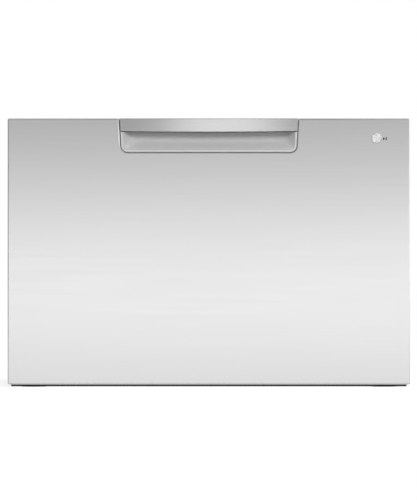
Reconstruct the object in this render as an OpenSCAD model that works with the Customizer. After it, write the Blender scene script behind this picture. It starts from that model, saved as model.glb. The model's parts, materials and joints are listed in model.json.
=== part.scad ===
// Built-in dishwasher drawer: a steel-fronted drawer with a tub, racks, pump and spray arm,
// running on ball slides inside a low chassis whose lid drops onto the tub.
// Millimetres. +Z is up, the front faces -Y, and the origin is the centre of the footprint at the floor.

/* [Front panel] */
// Width of the steel front panel
panel_w = 599; // [570:1:620]
// Height of the steel front panel
panel_h = 396; // [380:1:440]
// Folded depth of the front panel
panel_t = 22; // [20:0.5:26]
// Thickness of the steel skin
skin_t = 0.9; // [0.6:0.1:1.2]
// Height of the panel's lower edge above the floor
panel_lift = 4; // [3.5:0.5:8]
// Depth of the machine from panel face to chassis back
product_d = 573; // [560:1:600]

/* [Handle] */
// Half width of the handle recess at the top edge
recess_top_hw = 133.2; // [110:0.1:150]
// Half width of the handle recess at its foot
recess_foot_hw = 130.6; // [108:0.1:148]
// Height of the handle recess below the top edge
recess_h = 50.8; // [46:0.1:60]
// Radius of the recess's lower corners
recess_r = 10.5; // [6:0.5:16]
// Shadow gap around the handle pieces
recess_gap = 0.7; // [0.4:0.1:1.2]
// Height of the grip bar at its ends
grip_h = 18.6; // [14:0.1:24]
// How much deeper the grip bar is at mid width
grip_bow = 1.3; // [0.5:0.1:3]
// Thickness of the grip bar's plate
grip_t = 2.5; // [2:0.1:4]
// Width of the bright lip around the pocket
lip_w = 3; // [2:0.1:4.5]
// Wall of the pocket moulding
pocket_wall = 2; // [1.5:0.1:3]
// Thickness of the liner that closes the panel's back
liner_t = 1.5; // [1:0.1:2]

/* [Start button] */
// Radius of the round start button
button_r = 6.85; // [5:0.05:9]
// Distance of the button's centre from the panel's right edge
button_side = 50.1; // [40:0.1:80]
// Distance of the button's centre below the panel's top edge
button_drop = 29.6; // [22:0.1:45]
// How far the button stands proud of the panel
button_proud = 1; // [0.6:0.1:1.4]
// Gap around the button
button_gap = 0.35; // [0.2:0.05:0.6]

/* [Chassis] */
// How far the chassis sits in from each side of the panel
chassis_inset = 4.5; // [3:0.5:8]
// Thickness of the chassis sheet
sheet_t = 1; // [0.8:0.1:1.5]
// How far the chassis top lies below the panel's top edge
top_drop = 2; // [1:0.5:6]
// Clearance between the base tray and the floor
base_gap = 1; // [0.5:0.5:3]
// Floor thickness of the base tray
tray_t = 2; // [1.5:0.5:3]
// Height of the base tray's side walls
tray_wall_h = 22; // [16:1:40]
// Depth of the front frame from front to back
frame_d = 8.5; // [6:0.5:14]
// Height of the front frame's upper bar
frame_top_h = 10; // [8:0.5:12]
// Thickness of the front gasket
gasket_t = 1.2; // [0.8:0.1:1.5]
// Height of the stiffening beads
bead_h = 1.2; // [0.8:0.1:2]

/* [Runners] */
// Total thickness of one ball runner
runner_depth = 13; // [13:0.5:16]
// Height of the outer runner member
runner_h = 46; // [44:1:54]
// Steel thickness of the runner members
runner_t = 1.5; // [1.2:0.1:1.8]
// Height of the runner's mid line above the floor
runner_z = 132; // [120:1:170]
// Radial room for the balls between two members
ball_gap = 5; // [4.8:0.1:5.4]
// Diameter of the bearing balls
ball_d = 4.4; // [3.6:0.1:4.6]
// How far the drawer pulls out
drawer_travel = 500; // [400:5:520]

/* [Tub] */
// Wall thickness of the tub moulding
tub_wall = 3; // [2.5:0.5:4]
// Height of the tub's rim below the chassis top
rim_drop = 46; // [44:1:60]
// Height of the tub floor's upper face above the ground
floor_z = 70; // [66:1:90]
// Corner radius of the tub
tub_r = 38; // [24:1:50]
// Room between the front panel and the tub's front wall
cavity_d = 57; // [50:1:64]
// Room between the tub's back wall and the chassis back
rear_room = 51; // [48:1:70]
// Radius of the sump opening in the tub floor
sump_r = 98; // [90:1:110]
// Depth of the sump below the tub floor
sump_depth = 22; // [18:1:24]

/* [Lid] */
// Length of a lid link between its pins
link_l = 40; // [34:1:46]
// Angle of the raised link above level
link_up = 15; // [12:0.5:17]
// Angle of the lowered link below level
link_down = 5; // [2:0.5:6]
// Radius of the link pins
link_pin_r = 3; // [2.5:0.1:3.5]
// Running clearance around pins and shafts
run_gap = 0.08; // [0.03:0.01:0.1]

/* [Wash system] */
// Reach of the spray arm from its axis
arm_r = 195; // [150:1:205]
// Radius of the pump's impeller
impeller_r = 30; // [24:1:34]
// Radius of the rotor shaft
shaft_r = 4; // [3:0.5:5]
// Outer radius of the wash motor
motor_r = 70; // [60:1:78]
// Radius of the drain filter
drain_filter_r = 24; // [20:1:26]

/* [Racks] */
// Height of the rack floor's crossing wires above the ground
rack_z = 100; // [98:1:112]
// Height of the rack's sides
rack_h = 100; // [80:1:120]
// Radius of the rack's wires
wire_r = 2; // [1.5:0.1:2.2]
// Gap between the rack and the tub's side walls
rack_side_gap = 17; // [15:1:30]
// Length of the folding tines
tine_l = 80; // [60:1:84]
// Reach of a cup rack from its hinge
cup_rack_w = 98; // [80:1:100]

/* [Feet] */
// Radius of a foot's pad
foot_r = 19; // [15:0.5:22]
// Radius of a foot's threaded stem
foot_stem_r = 5; // [4:0.5:6]
// How far a foot screws out
foot_travel = 25; // [15:1:28]

/* [Hidden] */
$fn = 48;

// Colours, as the photograph shows them or as such a machine has them inside
STEEL = "gainsboro";
ZINC = "silver";
BLACK = "dimgray";
TUB_WHITE = "whitesmoke";
RACK_GREY = "slategray";
DARK_GREY = "darkslategray";

// Planes from front to back
front_y = -(product_d + button_proud) / 2 + button_proud;
back_y = front_y + product_d;
panel_back = front_y + panel_t;
seal_gap = 0.3;
frame_y = panel_back + seal_gap + gasket_t;
sheet_y = frame_y + frame_d;
tub_y0 = panel_back + cavity_d;
tub_y1 = back_y - rear_room;
tub_mid_y = (tub_y0 + tub_y1) / 2;

// Planes from the middle to the side
half_w = panel_w / 2;
chassis_hw = half_w - chassis_inset;
wall_in = chassis_hw - sheet_t;
seat_x = wall_in - runner_depth;
side_gap = 4;
tub_hw = seat_x - side_gap;
rim_hw = seat_x - 1;
lid_hw = rim_hw - 1;

// Levels
panel_top = panel_lift + panel_h;
chassis_top = panel_top - top_drop;
rim_z = chassis_top - rim_drop;
lid_drop = link_l * (sin(link_up) + sin(link_down));
seal_h = 5;
touch_gap = 0.3;
weld_gap = 0.02;
lid_z = rim_z + touch_gap + lid_drop + seal_h;
lid_plate_t = 4;
link_pin_z = lid_z + 13.3;
link_pivot_z = link_pin_z - link_l * sin(link_up);

// ---------- shared shapes ----------

// A box from one corner to the other
module span(x, y, z) {
  translate([x[0], y[0], z[0]]) cube([x[1] - x[0], y[1] - y[0], z[1] - z[0]]);
}

// Points of an arc from angle a0 to a1
function arc(cx, cy, r, a0, a1, steps = 6) =
  [for (i = [0:steps]) let (a = a0 + (a1 - a0) * i / steps) [cx + r * cos(a), cy + r * sin(a)]];

// Outline of a rectangle with round corners
function round_box(x, y, r) = concat(
  arc(x[1] - r, y[1] - r, r, 0, 90), arc(x[0] + r, y[1] - r, r, 90, 180),
  arc(x[0] + r, y[0] + r, r, 180, 270), arc(x[1] - r, y[0] + r, r, 270, 360));

// A flat outline in X and Y, raised between two levels
module rise(z, outline) {
  translate([0, 0, z[0]]) linear_extrude(z[1] - z[0]) polygon(outline);
}

// A flat outline in X and Z, drawn from front to back
module draw_back(y, outline) {
  translate([0, y[1], 0]) rotate([90, 0, 0]) linear_extrude(y[1] - y[0]) polygon(outline);
}

// A flat outline in Y and Z, drawn from left to right
module draw_across(x, outline) {
  translate([x[0], 0, 0]) rotate([90, 0, 90]) linear_extrude(x[1] - x[0]) polygon(outline);
}

// Round bars along each axis
module rod_x(x, y, z, r, sides = 48) {
  translate([x[0], y, z]) rotate([0, 90, 0]) cylinder(h = x[1] - x[0], r = r, $fn = sides);
}
module rod_y(x, y, z, r, sides = 48) {
  translate([x, y[1], z]) rotate([90, 0, 0]) cylinder(h = y[1] - y[0], r = r, $fn = sides);
}
module rod_z(x, y, z, r, sides = 48) {
  translate([x, y, z[0]]) cylinder(h = z[1] - z[0], r = r, $fn = sides);
}

// The right-hand piece as drawn, or its mirror image for the left
module on_side(side) {
  mirror([side < 0 ? 1 : 0, 0, 0]) children();
}
module both_sides() {
  for (side = [-1, 1]) on_side(side) children();
}

// ---------- chassis ----------

foot_x = chassis_hw - 33;
foot_y = [sheet_y + 31, back_y - 37];
foot_pad_h = 8;
foot_play = 4;
well_z = foot_pad_h + foot_play;
well_top = well_z + tray_t;
boss_h = 14;
tray_hw = wall_in - 0.5;
tray_back = back_y - sheet_t - 0.5;
tray_z = base_gap + tray_t;
tray_front_h = 3;

module at_feet() {
  for (sx = [-1, 1], y = foot_y) translate([sx * foot_x, y, 0]) children();
}

// Leak-proof tray with a well and a threaded boss over each foot
module base_tray() {
  well_r = foot_r + 3;
  wall_z = [base_gap, base_gap + tray_wall_h];
  color(ZINC) difference() {
    union() {
      span([-tray_hw, tray_hw], [sheet_y, tray_back], [base_gap, tray_z]);
      both_sides() span([tray_hw - tray_t, tray_hw], [sheet_y, tray_back], wall_z);
      span([-tray_hw, tray_hw], [tray_back - tray_t, tray_back], wall_z);
      span([-tray_hw, tray_hw], [sheet_y, sheet_y + tray_t], [base_gap, tray_z + tray_front_h]);
      at_feet() translate([0, 0, base_gap]) cylinder(h = well_top - base_gap, r = well_r + tray_t);
      at_feet() translate([0, 0, base_gap]) cylinder(h = well_top + boss_h - base_gap, r = foot_stem_r + 4);
    }
    at_feet() cylinder(h = well_z, r = well_r);
    at_feet() cylinder(h = well_top + boss_h + 1, r = foot_stem_r + run_gap);
  }
}

// One levelling foot: a round pad on a stem
module foot(sx, y) {
  color(DARK_GREY) translate([sx * foot_x, y, 0]) {
    cylinder(h = 3, r = foot_r);
    translate([0, 0, 3]) cylinder(h = foot_pad_h - 3, r = foot_r - 3);
    cylinder(h = well_top + boss_h + foot_travel - 7, r = foot_stem_r);
  }
}

bracket_z = [60, chassis_top - 53];
bracket_y = sheet_y + 18;
bracket_hole_r = 2.25;
bracket_t = 1.2;
screw_r = 3.2;
screw_head_h = 1;

// Side sheets, each with a top flange, long beads, screw holes and the front post of the lid linkage
module side_panels() {
  bead_y = [sheet_y + 50, back_y - 40];
  color(ZINC) both_sides() difference() {
    union() {
      pivot_post(front_pivot_y, [link_x[1] + 1, wall_in]);
      span([wall_in, chassis_hw], [sheet_y, back_y - sheet_t], [base_gap, chassis_top - sheet_t]);
      span([wall_in - 9, wall_in], [sheet_y + 4, back_y - sheet_t - 4],
           [chassis_top - 2 * sheet_t, chassis_top - sheet_t]);
      for (z = [48, chassis_top - 202, chassis_top - 142, chassis_top - 82])
        draw_across([chassis_hw, chassis_hw + bead_h], round_box(bead_y, [z, z + 16], 7.5));
    }
    for (z = bracket_z) rod_x([wall_in - 1, chassis_hw + 1], bracket_y, z, bracket_hole_r);
  }
}

// Top sheet with three beads, a turned-down front edge and two screw tabs' holes
module top_panel() {
  color(ZINC) {
    span([-chassis_hw, chassis_hw], [sheet_y, back_y], [chassis_top - sheet_t, chassis_top]);
    for (x = [-190, 0, 190])
      rise([chassis_top, chassis_top + bead_h], round_box([x - 60, x + 60], [sheet_y + 60, back_y - 60], 12));
  }
}

bay_x = [15 - chassis_hw, 195 - chassis_hw];
bay_z = [28, 118];
bay_d = 24;

// Back sheet with the sunk service bay, vents, beads and the hose clip
module back_panel() {
  inner_y = back_y - bay_d;
  color(ZINC) difference() {
    union() {
      span([-hose_x - 14, -hose_x + 14], [hose_y - 12, back_y], [hose_top, hose_top + 14]);
      span([-chassis_hw, chassis_hw], [back_y - sheet_t, back_y], [base_gap, chassis_top - sheet_t]);
      span([bay_x[0] - sheet_t, bay_x[1] + sheet_t], [inner_y - sheet_t, back_y],
           [bay_z[0] - sheet_t, bay_z[1] + sheet_t]);
      for (z = spread(bay_z[1] + 32, chassis_top - 68, 60))
        draw_back([back_y - sheet_t - bead_h, back_y - sheet_t],
          round_box([45 - chassis_hw, chassis_hw - 45], [z, z + 18], 8));
    }
    span(bay_x, [inner_y, back_y + 1], bay_z);
    for (x = [60:14:chassis_hw - 66])
      draw_back([back_y - sheet_t - 1, back_y + 1], round_box([x, x + 6], [50, 110], 2.9));
  }
}

frame_in = wall_in - 1.5;
frame_foot_z = tray_z + tray_front_h;

// Black plastic surround on the chassis's front edge; its foot is the dark line under the panel
module front_frame() {
  color(BLACK) difference() {
    span([-chassis_hw, chassis_hw], [frame_y, sheet_y], [base_gap, chassis_top]);
    span([-frame_in, frame_in], [frame_y - 1, sheet_y + 1], [frame_foot_z, chassis_top - frame_top_h]);
  }
}

// Rubber strip that the panel's edge closes on
module front_gasket() {
  strip = 1.8;
  color("black") difference() {
    span([-chassis_hw, chassis_hw], [frame_y - gasket_t, frame_y], [panel_lift, chassis_top]);
    span([-chassis_hw + strip, chassis_hw - strip], [frame_y - gasket_t - 1, frame_y + 1],
         [panel_lift + strip, chassis_top - frame_top_h + 2]);
  }
}

// Four screw tabs that fix the chassis to its cabinet
module mounting_brackets() {
  color(ZINC) both_sides() for (z = bracket_z) difference() {
    span([chassis_hw, chassis_hw + bracket_t], [bracket_y - 14, bracket_y + 14], [z - 12, z + 12]);
    rod_x([chassis_hw - 1, chassis_hw + bracket_t + 1], bracket_y, z, bracket_hole_r);
  }
}

// Screw heads of the casing: along the top's side edges and the sides' rear edges
module chassis_screws() {
  color(STEEL) both_sides() {
    for (y = [sheet_y + 30, 0, back_y - 30])
      rod_z(chassis_hw - 5, y, [chassis_top, chassis_top + screw_head_h], screw_r, 24);
    for (z = spread(base_gap + 29, chassis_top - 68, 100))
      rod_x([chassis_hw, chassis_hw + screw_head_h], back_y - 12, z, screw_r, 24);
  }
}

// ---------- chassis services ----------

bay_y = back_y - bay_d;
valve_x = bay_x[0] + 36;
spigot_x = bay_x[0] + 88;
inlet_z = 74;
thread_r = 13.2;
spigot_r = 9.5;
inlet_reach = 21;

// Water inlet: a threaded connector in the service bay, its coil inside the casing
module inlet_valve() {
  color("white") {
    span([valve_x - 18, valve_x + 18], [bay_y, bay_y + 6], [inlet_z - 18, inlet_z + 18]);
    difference() {
      rod_y(valve_x, [bay_y + 6, bay_y + inlet_reach], inlet_z, thread_r);
      rod_y(valve_x, [bay_y + 8, bay_y + inlet_reach + 1], inlet_z, 8);
    }
    rod_y(valve_x, [bay_y - sheet_t - 14, bay_y - sheet_t], inlet_z, 14);
  }
}

// Drain outlet: a barbed spigot in the service bay
module drain_spigot() {
  color(BLACK) difference() {
    union() {
      rod_y(spigot_x, [bay_y, bay_y + 3], inlet_z, 15);
      rod_y(spigot_x, [bay_y, bay_y + inlet_reach], inlet_z, spigot_r);
    }
    rod_y(spigot_x, [bay_y - 1, bay_y + inlet_reach + 1], inlet_z, 7);
  }
}

terminal_x = [bay_x[1] - 62, bay_x[1] - 14];
terminal_wall = 2;
gland_r = 10.2;
gland_z = 74;

// Mains terminal box with the cable entry and no cable
module terminal_box() {
  z = [gland_z - 22, gland_z + 22];
  gland_x = (terminal_x[0] + terminal_x[1]) / 2;
  color(BLACK) difference() {
    span(terminal_x, [bay_y, bay_y + bay_d - 3], z);
    span([terminal_x[0] + terminal_wall, terminal_x[1] - terminal_wall],
         [bay_y + terminal_wall, bay_y + bay_d - 11], [z[0] + terminal_wall, z[1] - terminal_wall]);
    rod_y(gland_x, [bay_y + bay_d - 12, bay_y + bay_d], gland_z, gland_r);
  }
}

hose_r = 8;
hose_x = tub_hw - 15;
hose_y = back_y - 26;
hose_top = rim_z - 22;
// Half of the hose's slack loop behind the tub: how far in from its clip and how far down
HOSE_HALF = [[0, 0], [0, 8], [0, 30], [6, 68], [22, 102], [48, 134], [82, 162], [122, 184], [166, 199], [212, 208]];
hose_sag = 211;
// Route from the casing's clip through the loop's lowest point to the tub's clip
HOSE_ROUTE = concat(
  [for (p = HOSE_HALF) [p[0] - hose_x, hose_y, hose_top - p[1]]],
  [[0, hose_y, hose_top - hose_sag]],
  [for (i = [len(HOSE_HALF) - 1:-1:0]) [hose_x - HOSE_HALF[i][0], hose_y, hose_top - HOSE_HALF[i][1]]]);

// A smooth curve through the points of a route
function between(a, b, c, d, t) =
  0.5 * ((2 * b) + (c - a) * t + (2 * a - 5 * b + 4 * c - d) * t * t + (3 * b - a - 3 * c + d) * t * t * t);
function smooth(route, steps) = let (n = len(route) - 1) concat(
  [for (i = [0:n - 1], s = [0:steps - 1])
    between(route[max(i - 1, 0)], route[i], route[i + 1], route[min(i + 2, n)], s / steps)],
  [route[n]]);

// Tube swept along a route that stays in one plane across the machine
module flat_tube(route, r, sides = 10) {
  n = len(route) - 1;
  heading = function (i) let (d = route[min(i + 1, n)] - route[max(i - 1, 0)]) d / norm(d);
  points = [for (i = [0:n], k = [0:sides - 1]) let (a = 360 * k / sides, d = heading(i))
    route[i] + r * (cos(a) * [d[2], 0, -d[0]] + sin(a) * [0, 1, 0])];
  walls = [for (i = [0:n - 1], k = [0:sides - 1]) let (j = (k + 1) % sides)
    [i * sides + k, i * sides + j, (i + 1) * sides + j, (i + 1) * sides + k]];
  first = [for (k = [sides - 1:-1:0]) k];
  last = [for (k = [0:sides - 1]) n * sides + k];
  polyhedron(points, concat([first], walls, [last]), convexity = 6);
}

// Flexible drain hose, long enough for the open drawer
module drain_hose() {
  color("gray") flat_tube(smooth(HOSE_ROUTE, 2), hose_r);
}

// ---------- ball runners ----------

run_y0 = sheet_y + 6;
run_y1 = back_y - sheet_t - 16;
member_step = 20;
middle_y1 = run_y1 - member_step;
inner_y1 = middle_y1 - member_step;
outer_half = runner_h / 2;
middle_half = outer_half - runner_t - ball_gap;
inner_half = middle_half - runner_t - ball_gap;
cage_t = 0.6;
cage_play = 0.7;
middle_back_x = wall_in - runner_t - cage_t - 2 * cage_play;
middle_tip_x = seat_x + 2;
inner_tip_x = middle_back_x - runner_t - cage_t - 2 * 0.5;
outer_tip_x = wall_in - 9;
ball_r = ball_d / 2;
balls = 5;

// A channel lying along Y: its web at x_web, its flanges reaching to x_tip
module channel(y, x_web, x_tip, half) {
  dir = x_tip > x_web ? 1 : -1;
  x_in = x_web + dir * runner_t;
  translate([0, 0, runner_z]) draw_back(y, [
    [x_web, -half], [x_tip, -half], [x_tip, runner_t - half], [x_in, runner_t - half],
    [x_in, half - runner_t], [x_tip, half - runner_t], [x_tip, half], [x_web, half]]);
}

module runner_outer(side) {
  color(ZINC) on_side(side) channel([run_y0, run_y1], wall_in, outer_tip_x, outer_half);
}

module runner_middle(side) {
  color(ZINC) on_side(side) channel([run_y0, middle_y1], middle_back_x, middle_tip_x, middle_half);
}

// Drawer member with the three lugs that seat on the tub's wall
module runner_inner(side) {
  color(ZINC) on_side(side) {
    channel([run_y0, inner_y1], seat_x, inner_tip_x, inner_half);
    for (y = [tub_y0 + 60, tub_mid_y - 20, inner_y1 - 60])
      span([tub_hw, seat_x], [y - 14, y + 14], [runner_z - inner_half, runner_z + inner_half]);
  }
}

// One ball cage: a thin channel with its two rows of balls
module ball_cage(y, x_web, x_tip, ball_x, ball_z) {
  arm_half = ball_z + cage_t / 2;
  pitch = (y[1] - y[0]) / balls;
  ball_y = [for (i = [0:balls - 1]) y[0] + pitch * (i + 0.5)];
  translate([0, 0, runner_z]) {
    difference() {
      draw_back(y, [[x_web, -arm_half], [x_web, arm_half], [x_tip, arm_half], [x_tip, arm_half - cage_t],
        [x_web - cage_t, arm_half - cage_t], [x_web - cage_t, cage_t - arm_half],
        [x_tip, cage_t - arm_half], [x_tip, -arm_half]]);
      for (by = ball_y) rod_z(ball_x, by, [-arm_half - 1, arm_half + 1], ball_r + 0.1, 24);
    }
    for (by = ball_y, sz = [-1, 1]) translate([ball_x, by, sz * ball_z]) sphere(r = ball_r);
  }
}

// Ends of a cage that stays between its members over the whole travel
cage_end = 10;
function cage_span(share, y0, y1) =
  [run_y0 + drawer_travel * share + cage_end, y1 - drawer_travel * (y0 - share) - cage_end];

module outer_ball_cages() {
  ball_x = (outer_tip_x + middle_back_x) / 2;
  color(STEEL) both_sides()
    ball_cage(cage_span(1 / 4, 1 / 2, middle_y1), wall_in - runner_t - cage_play, outer_tip_x,
              ball_x, middle_half + ball_gap / 2);
}

module inner_ball_cages() {
  ball_x = (middle_tip_x + inner_tip_x) / 2;
  color(STEEL) both_sides()
    ball_cage(cage_span(1 / 4, 1 / 2, inner_y1), inner_tip_x + 0.5 + cage_t, ball_x - ball_r - 0.4,
              ball_x, inner_half + ball_gap / 2);
}

// ---------- tub lid and its linkage ----------

rim_reach = 6;
rim_y = [tub_y0 - rim_reach, tub_y1 + rim_reach];
rim_t = 3;
lid_y = [rim_y[0] + 2, rim_y[1] - 4];
seal_w = 4;
seal_inset = 0.5;
link_t = 5;
link_x = [lid_hw + 3.5, lid_hw + 3.5 + link_t];
link_half = 6;
link_run = link_l * cos(link_up);
front_pivot_y = lid_y[0] + 60;
rear_pivot_y = lid_y[1] - 92;
open_pivot_gap = 0.25;
lid_rib_x = lid_hw - 129;
lid_rib_in = 40;
lid_rib_t = 4;

// Chassis post with the pin that a link turns on
module pivot_post(y, x) {
  span(x, [y - 9, y + 9], [link_pivot_z - 9, link_pivot_z + 9]);
  rod_x([link_x[0] - 0.6, x[0]], y, link_pivot_z, link_pin_r);
}

// Link plate with round ends, its lower eye on the chassis pin and its upper eye on the lid's pin
module lid_link(side, y, lid_eye_gap) {
  pin_y = y + link_run;
  color(ZINC) on_side(side) difference() {
    draw_across(link_x, concat(
      arc(y, link_pivot_z, link_half, 90 + link_up, 270 + link_up),
      arc(pin_y, link_pin_z, link_half, link_up - 90, link_up + 90)));
    rod_x([link_x[0] - 1, link_x[1] + 1], y, link_pivot_z, link_pin_r + run_gap);
    rod_x([link_x[0] - 1, link_x[1] + 1], pin_y, link_pin_z, link_pin_r + lid_eye_gap);
  }
}

// Lid plate with its stiffening ribs and four ears whose pins the links carry
module tub_lid() {
  top = lid_z + lid_plate_t;
  color(DARK_GREY) {
    rise([lid_z, top], round_box([-lid_hw, lid_hw], lid_y, tub_r));
    for (x = [-lid_rib_x, lid_rib_x])
      span([x - lid_rib_t / 2, x + lid_rib_t / 2], [lid_y[0] + lid_rib_in, lid_y[1] - lid_rib_in], [top, top + 8]);
    for (y = [lid_y[0] + lid_rib_in, lid_y[1] - lid_rib_in])
      span([-lid_rib_x - lid_rib_t / 2, lid_rib_x + lid_rib_t / 2],
           [y - lid_rib_t / 2, y + lid_rib_t / 2], [top, top + 8]);
    both_sides() for (y = [front_pivot_y, rear_pivot_y]) {
      span([lid_hw - 4, lid_hw], [y + link_run - 8, y + link_run + 8], [top, link_pin_z + link_half]);
      rod_x([lid_hw, link_x[1] + 0.6], y + link_run, link_pin_z, link_pin_r);
    }
  }
}

// Rubber lip under the lid's edge
module lid_seal() {
  outer = [lid_hw - seal_inset, lid_y[0] + seal_inset, lid_y[1] - seal_inset];
  color("black") difference() {
    rise([lid_z - seal_h, lid_z],
         round_box([-outer[0], outer[0]], [outer[1], outer[2]], tub_r - seal_inset));
    rise([lid_z - seal_h - 1, lid_z + 1], round_box([seal_w - outer[0], outer[0] - seal_w],
      [outer[1] + seal_w, outer[2] - seal_w], tub_r - seal_inset - seal_w));
  }
}

// Gear motors behind the tub; their flat gearboxes carry the rear links
module lid_actuators() {
  plate_x = [link_x[1] + 1, wall_in];
  motor_y = lid_y[1] + 22;
  color(BLACK) both_sides() {
    pivot_post(rear_pivot_y, plate_x);
    span(plate_x, [rear_pivot_y, motor_y + 12], [link_pivot_z - 9, link_pivot_z + 9]);
    rod_x([wall_in - 38, plate_x[0]], motor_y, link_pivot_z, 12);
  }
}

// ---------- tub ----------

tub_in_hw = tub_hw - tub_wall;
tub_in_y = [tub_y0 + tub_wall, tub_y1 - tub_wall];
tub_in_r = tub_r - tub_wall;
sump_z = floor_z - sump_depth;
ledge_w = 6;
filter_t = 2.5;
can_r = 38;
can_wall = 2.5;
can_z = sump_z - 34;
shaft_top = floor_z + 4;
brace_x = tub_hw - 25;
brace_z = [floor_z + 10, rim_z - 12];
dispenser_x = [-146, -24];
dispenser_z = [rim_z - 106, rim_z - 18];
dispenser_rim = 6;
vent_x = [108, 132];
vent_z = [rim_z - 120, rim_z - 100];
rack_post = [tub_in_hw - 36, 24];
rack_bottom = rack_z - 3 * wire_r - weld_gap;
heater_r = 76;
heater_tube_r = 4;
heater_end_a = 52;
axis_y = tub_mid_y;

// Wash tub: walls, rim, floor with the sump's opening, rack posts and the braces that carry the front panel
module drawer_tub() {
  wall_x = [-tub_hw, tub_hw];
  color(TUB_WHITE) difference() {
    union() {
      rise([floor_z - tub_wall, rim_z], round_box(wall_x, [tub_y0, tub_y1], tub_r));
      rise([rim_z - rim_t, rim_z], round_box([-rim_hw, rim_hw], rim_y, tub_r + 3));
      both_sides() span([brace_x, brace_x + tub_wall], [panel_back, tub_y0 + 1], brace_z);
      span([-brace_x, brace_x], [panel_back, tub_y0 + 1], [brace_z[0], brace_z[0] + tub_wall]);
      span([hose_x - 14, hose_x + 14], [tub_y1 - 16, hose_y + 12], [hose_top, hose_top + 14]);
    }
    difference() {
      rise([floor_z, rim_z + 1], round_box([-tub_in_hw, tub_in_hw], tub_in_y, tub_in_r));
      both_sides() for (y = [tub_in_y[0] + rack_post[1], tub_in_y[1] - rack_post[1]])
        rod_z(rack_post[0], y, [floor_z - 1, rack_bottom - touch_gap], 9);
    }
    translate([0, axis_y, floor_z - tub_wall - 1]) cylinder(h = tub_wall + 2, r = sump_r);
    span([dispenser_x[0] + dispenser_rim, dispenser_x[1] - dispenser_rim], [tub_y0 - 1, tub_in_y[0] + 1],
         [dispenser_z[0] + dispenser_rim, dispenser_z[1] - dispenser_rim]);
    span(vent_x, [tub_y0 - 1, tub_in_y[0] + 1], vent_z);
  }
}

// Sump under the tub's floor: bowl with the ledge of the filter plate, motor can and the motor's fixed shaft
module sump_bowl() {
  under = floor_z - tub_wall - weld_gap;
  color(TUB_WHITE) difference() {
    union() {
      rod_z(0, axis_y, [sump_z - tub_wall, under], sump_r + tub_wall);
      rod_z(0, axis_y, [sump_z, floor_z - filter_t], sump_r - weld_gap);
      rod_z(0, axis_y, [can_z, sump_z], can_r);
    }
    rod_z(0, axis_y, [sump_z, floor_z], sump_r - ledge_w);
    rod_z(0, axis_y, [can_z + can_wall, sump_z + 1], can_r - can_wall);
    for (a = [-heater_end_a, heater_end_a])
      rod_z(heater_r * cos(a), axis_y + heater_r * sin(a), [sump_z - tub_wall - 1, sump_z + 1],
            heater_tube_r);
  }
  color(STEEL) rod_z(0, axis_y, [can_z + can_wall, shaft_top], shaft_r);
}

volute_r = impeller_r + 6;
tower_r = 14;
tower_top = floor_z + 16;
drain_filter_x = tower_r + 8 + drain_filter_r + 16;

// Round filter plate with fine slots, the pump's bell under it and the spray arm's tower on it
module filter_plate() {
  plate_z = floor_z - filter_t;
  color("lightgray") translate([0, axis_y, 0]) {
    difference() {
      translate([0, 0, plate_z]) cylinder(h = filter_t, r = sump_r - 0.4);
      translate([0, 0, plate_z - 1]) cylinder(h = filter_t + 2, r = tower_r - 2);
      translate([drain_filter_x, 0, plate_z - 1]) cylinder(h = filter_t + 2, r = drain_filter_r + run_gap);
      for (a = [75:15:285], d = [48, 62, 76]) rotate([0, 0, a]) translate([d, -1.2, plate_z - 1])
        cube([10, 2.4, filter_t + 2]);
    }
    difference() {
      union() {
        translate([0, 0, sump_z + 3]) cylinder(h = plate_z - sump_z - 3, r = volute_r);
        translate([0, 0, plate_z]) cylinder(h = tower_top - plate_z, r = tower_r);
      }
      translate([0, 0, sump_z]) cylinder(h = plate_z - sump_z - 2, r = volute_r - 2);
      translate([0, 0, sump_z]) cylinder(h = tower_top, r = tower_r - 2);
      rotate([0, 0, 90]) translate([0, -7, sump_z]) cube([volute_r + 5, 14, 12]);
    }
  }
}

// Fine drain filter, a cup with a grip across its top, locked by a short turn
module drain_filter() {
  cup_h = floor_z - sump_z - 2;
  color("slategray") translate([drain_filter_x, axis_y, 0]) {
    difference() {
      translate([0, 0, sump_z + 2]) cylinder(h = cup_h, r = drain_filter_r);
      translate([0, 0, sump_z + 4]) cylinder(h = cup_h, r = drain_filter_r - 2);
    }
    span([-drain_filter_r + 1, drain_filter_r - 1], [-2, 2], [floor_z - 10, floor_z + 6]);
  }
}

// Heating element: an open ring round the pump, its ends passing through the sump's floor
module heater_ring() {
  ring_z = sump_z + 8;
  color(STEEL) translate([0, axis_y, 0]) {
    translate([0, 0, ring_z]) rotate([0, 0, heater_end_a]) rotate_extrude(angle = 360 - 2 * heater_end_a)
      translate([heater_r, 0]) circle(r = heater_tube_r);
    for (a = [-heater_end_a, heater_end_a])
      rod_z(heater_r * cos(a), heater_r * sin(a), [sump_z - tub_wall - 10, ring_z], heater_tube_r - 0.3);
  }
}

stator_poles = 12;

// Stator of the wash motor: a ring of wound poles round the motor can
module motor_stator() {
  top = sump_z - tub_wall;
  color("peru") translate([0, axis_y, 0]) difference() {
    translate([0, 0, can_z]) cylinder(h = top - can_z, r = motor_r);
    translate([0, 0, can_z - 1]) cylinder(h = top - can_z + 2, r = can_r + touch_gap);
    for (i = [0:stator_poles - 1]) rotate([0, 0, 360 * (i + 0.5) / stator_poles])
      translate([can_r + 4, -3, can_z - 1]) cube([motor_r - can_r - 10, 6, top - can_z + 2]);
  }
}

blades = 6;

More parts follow.
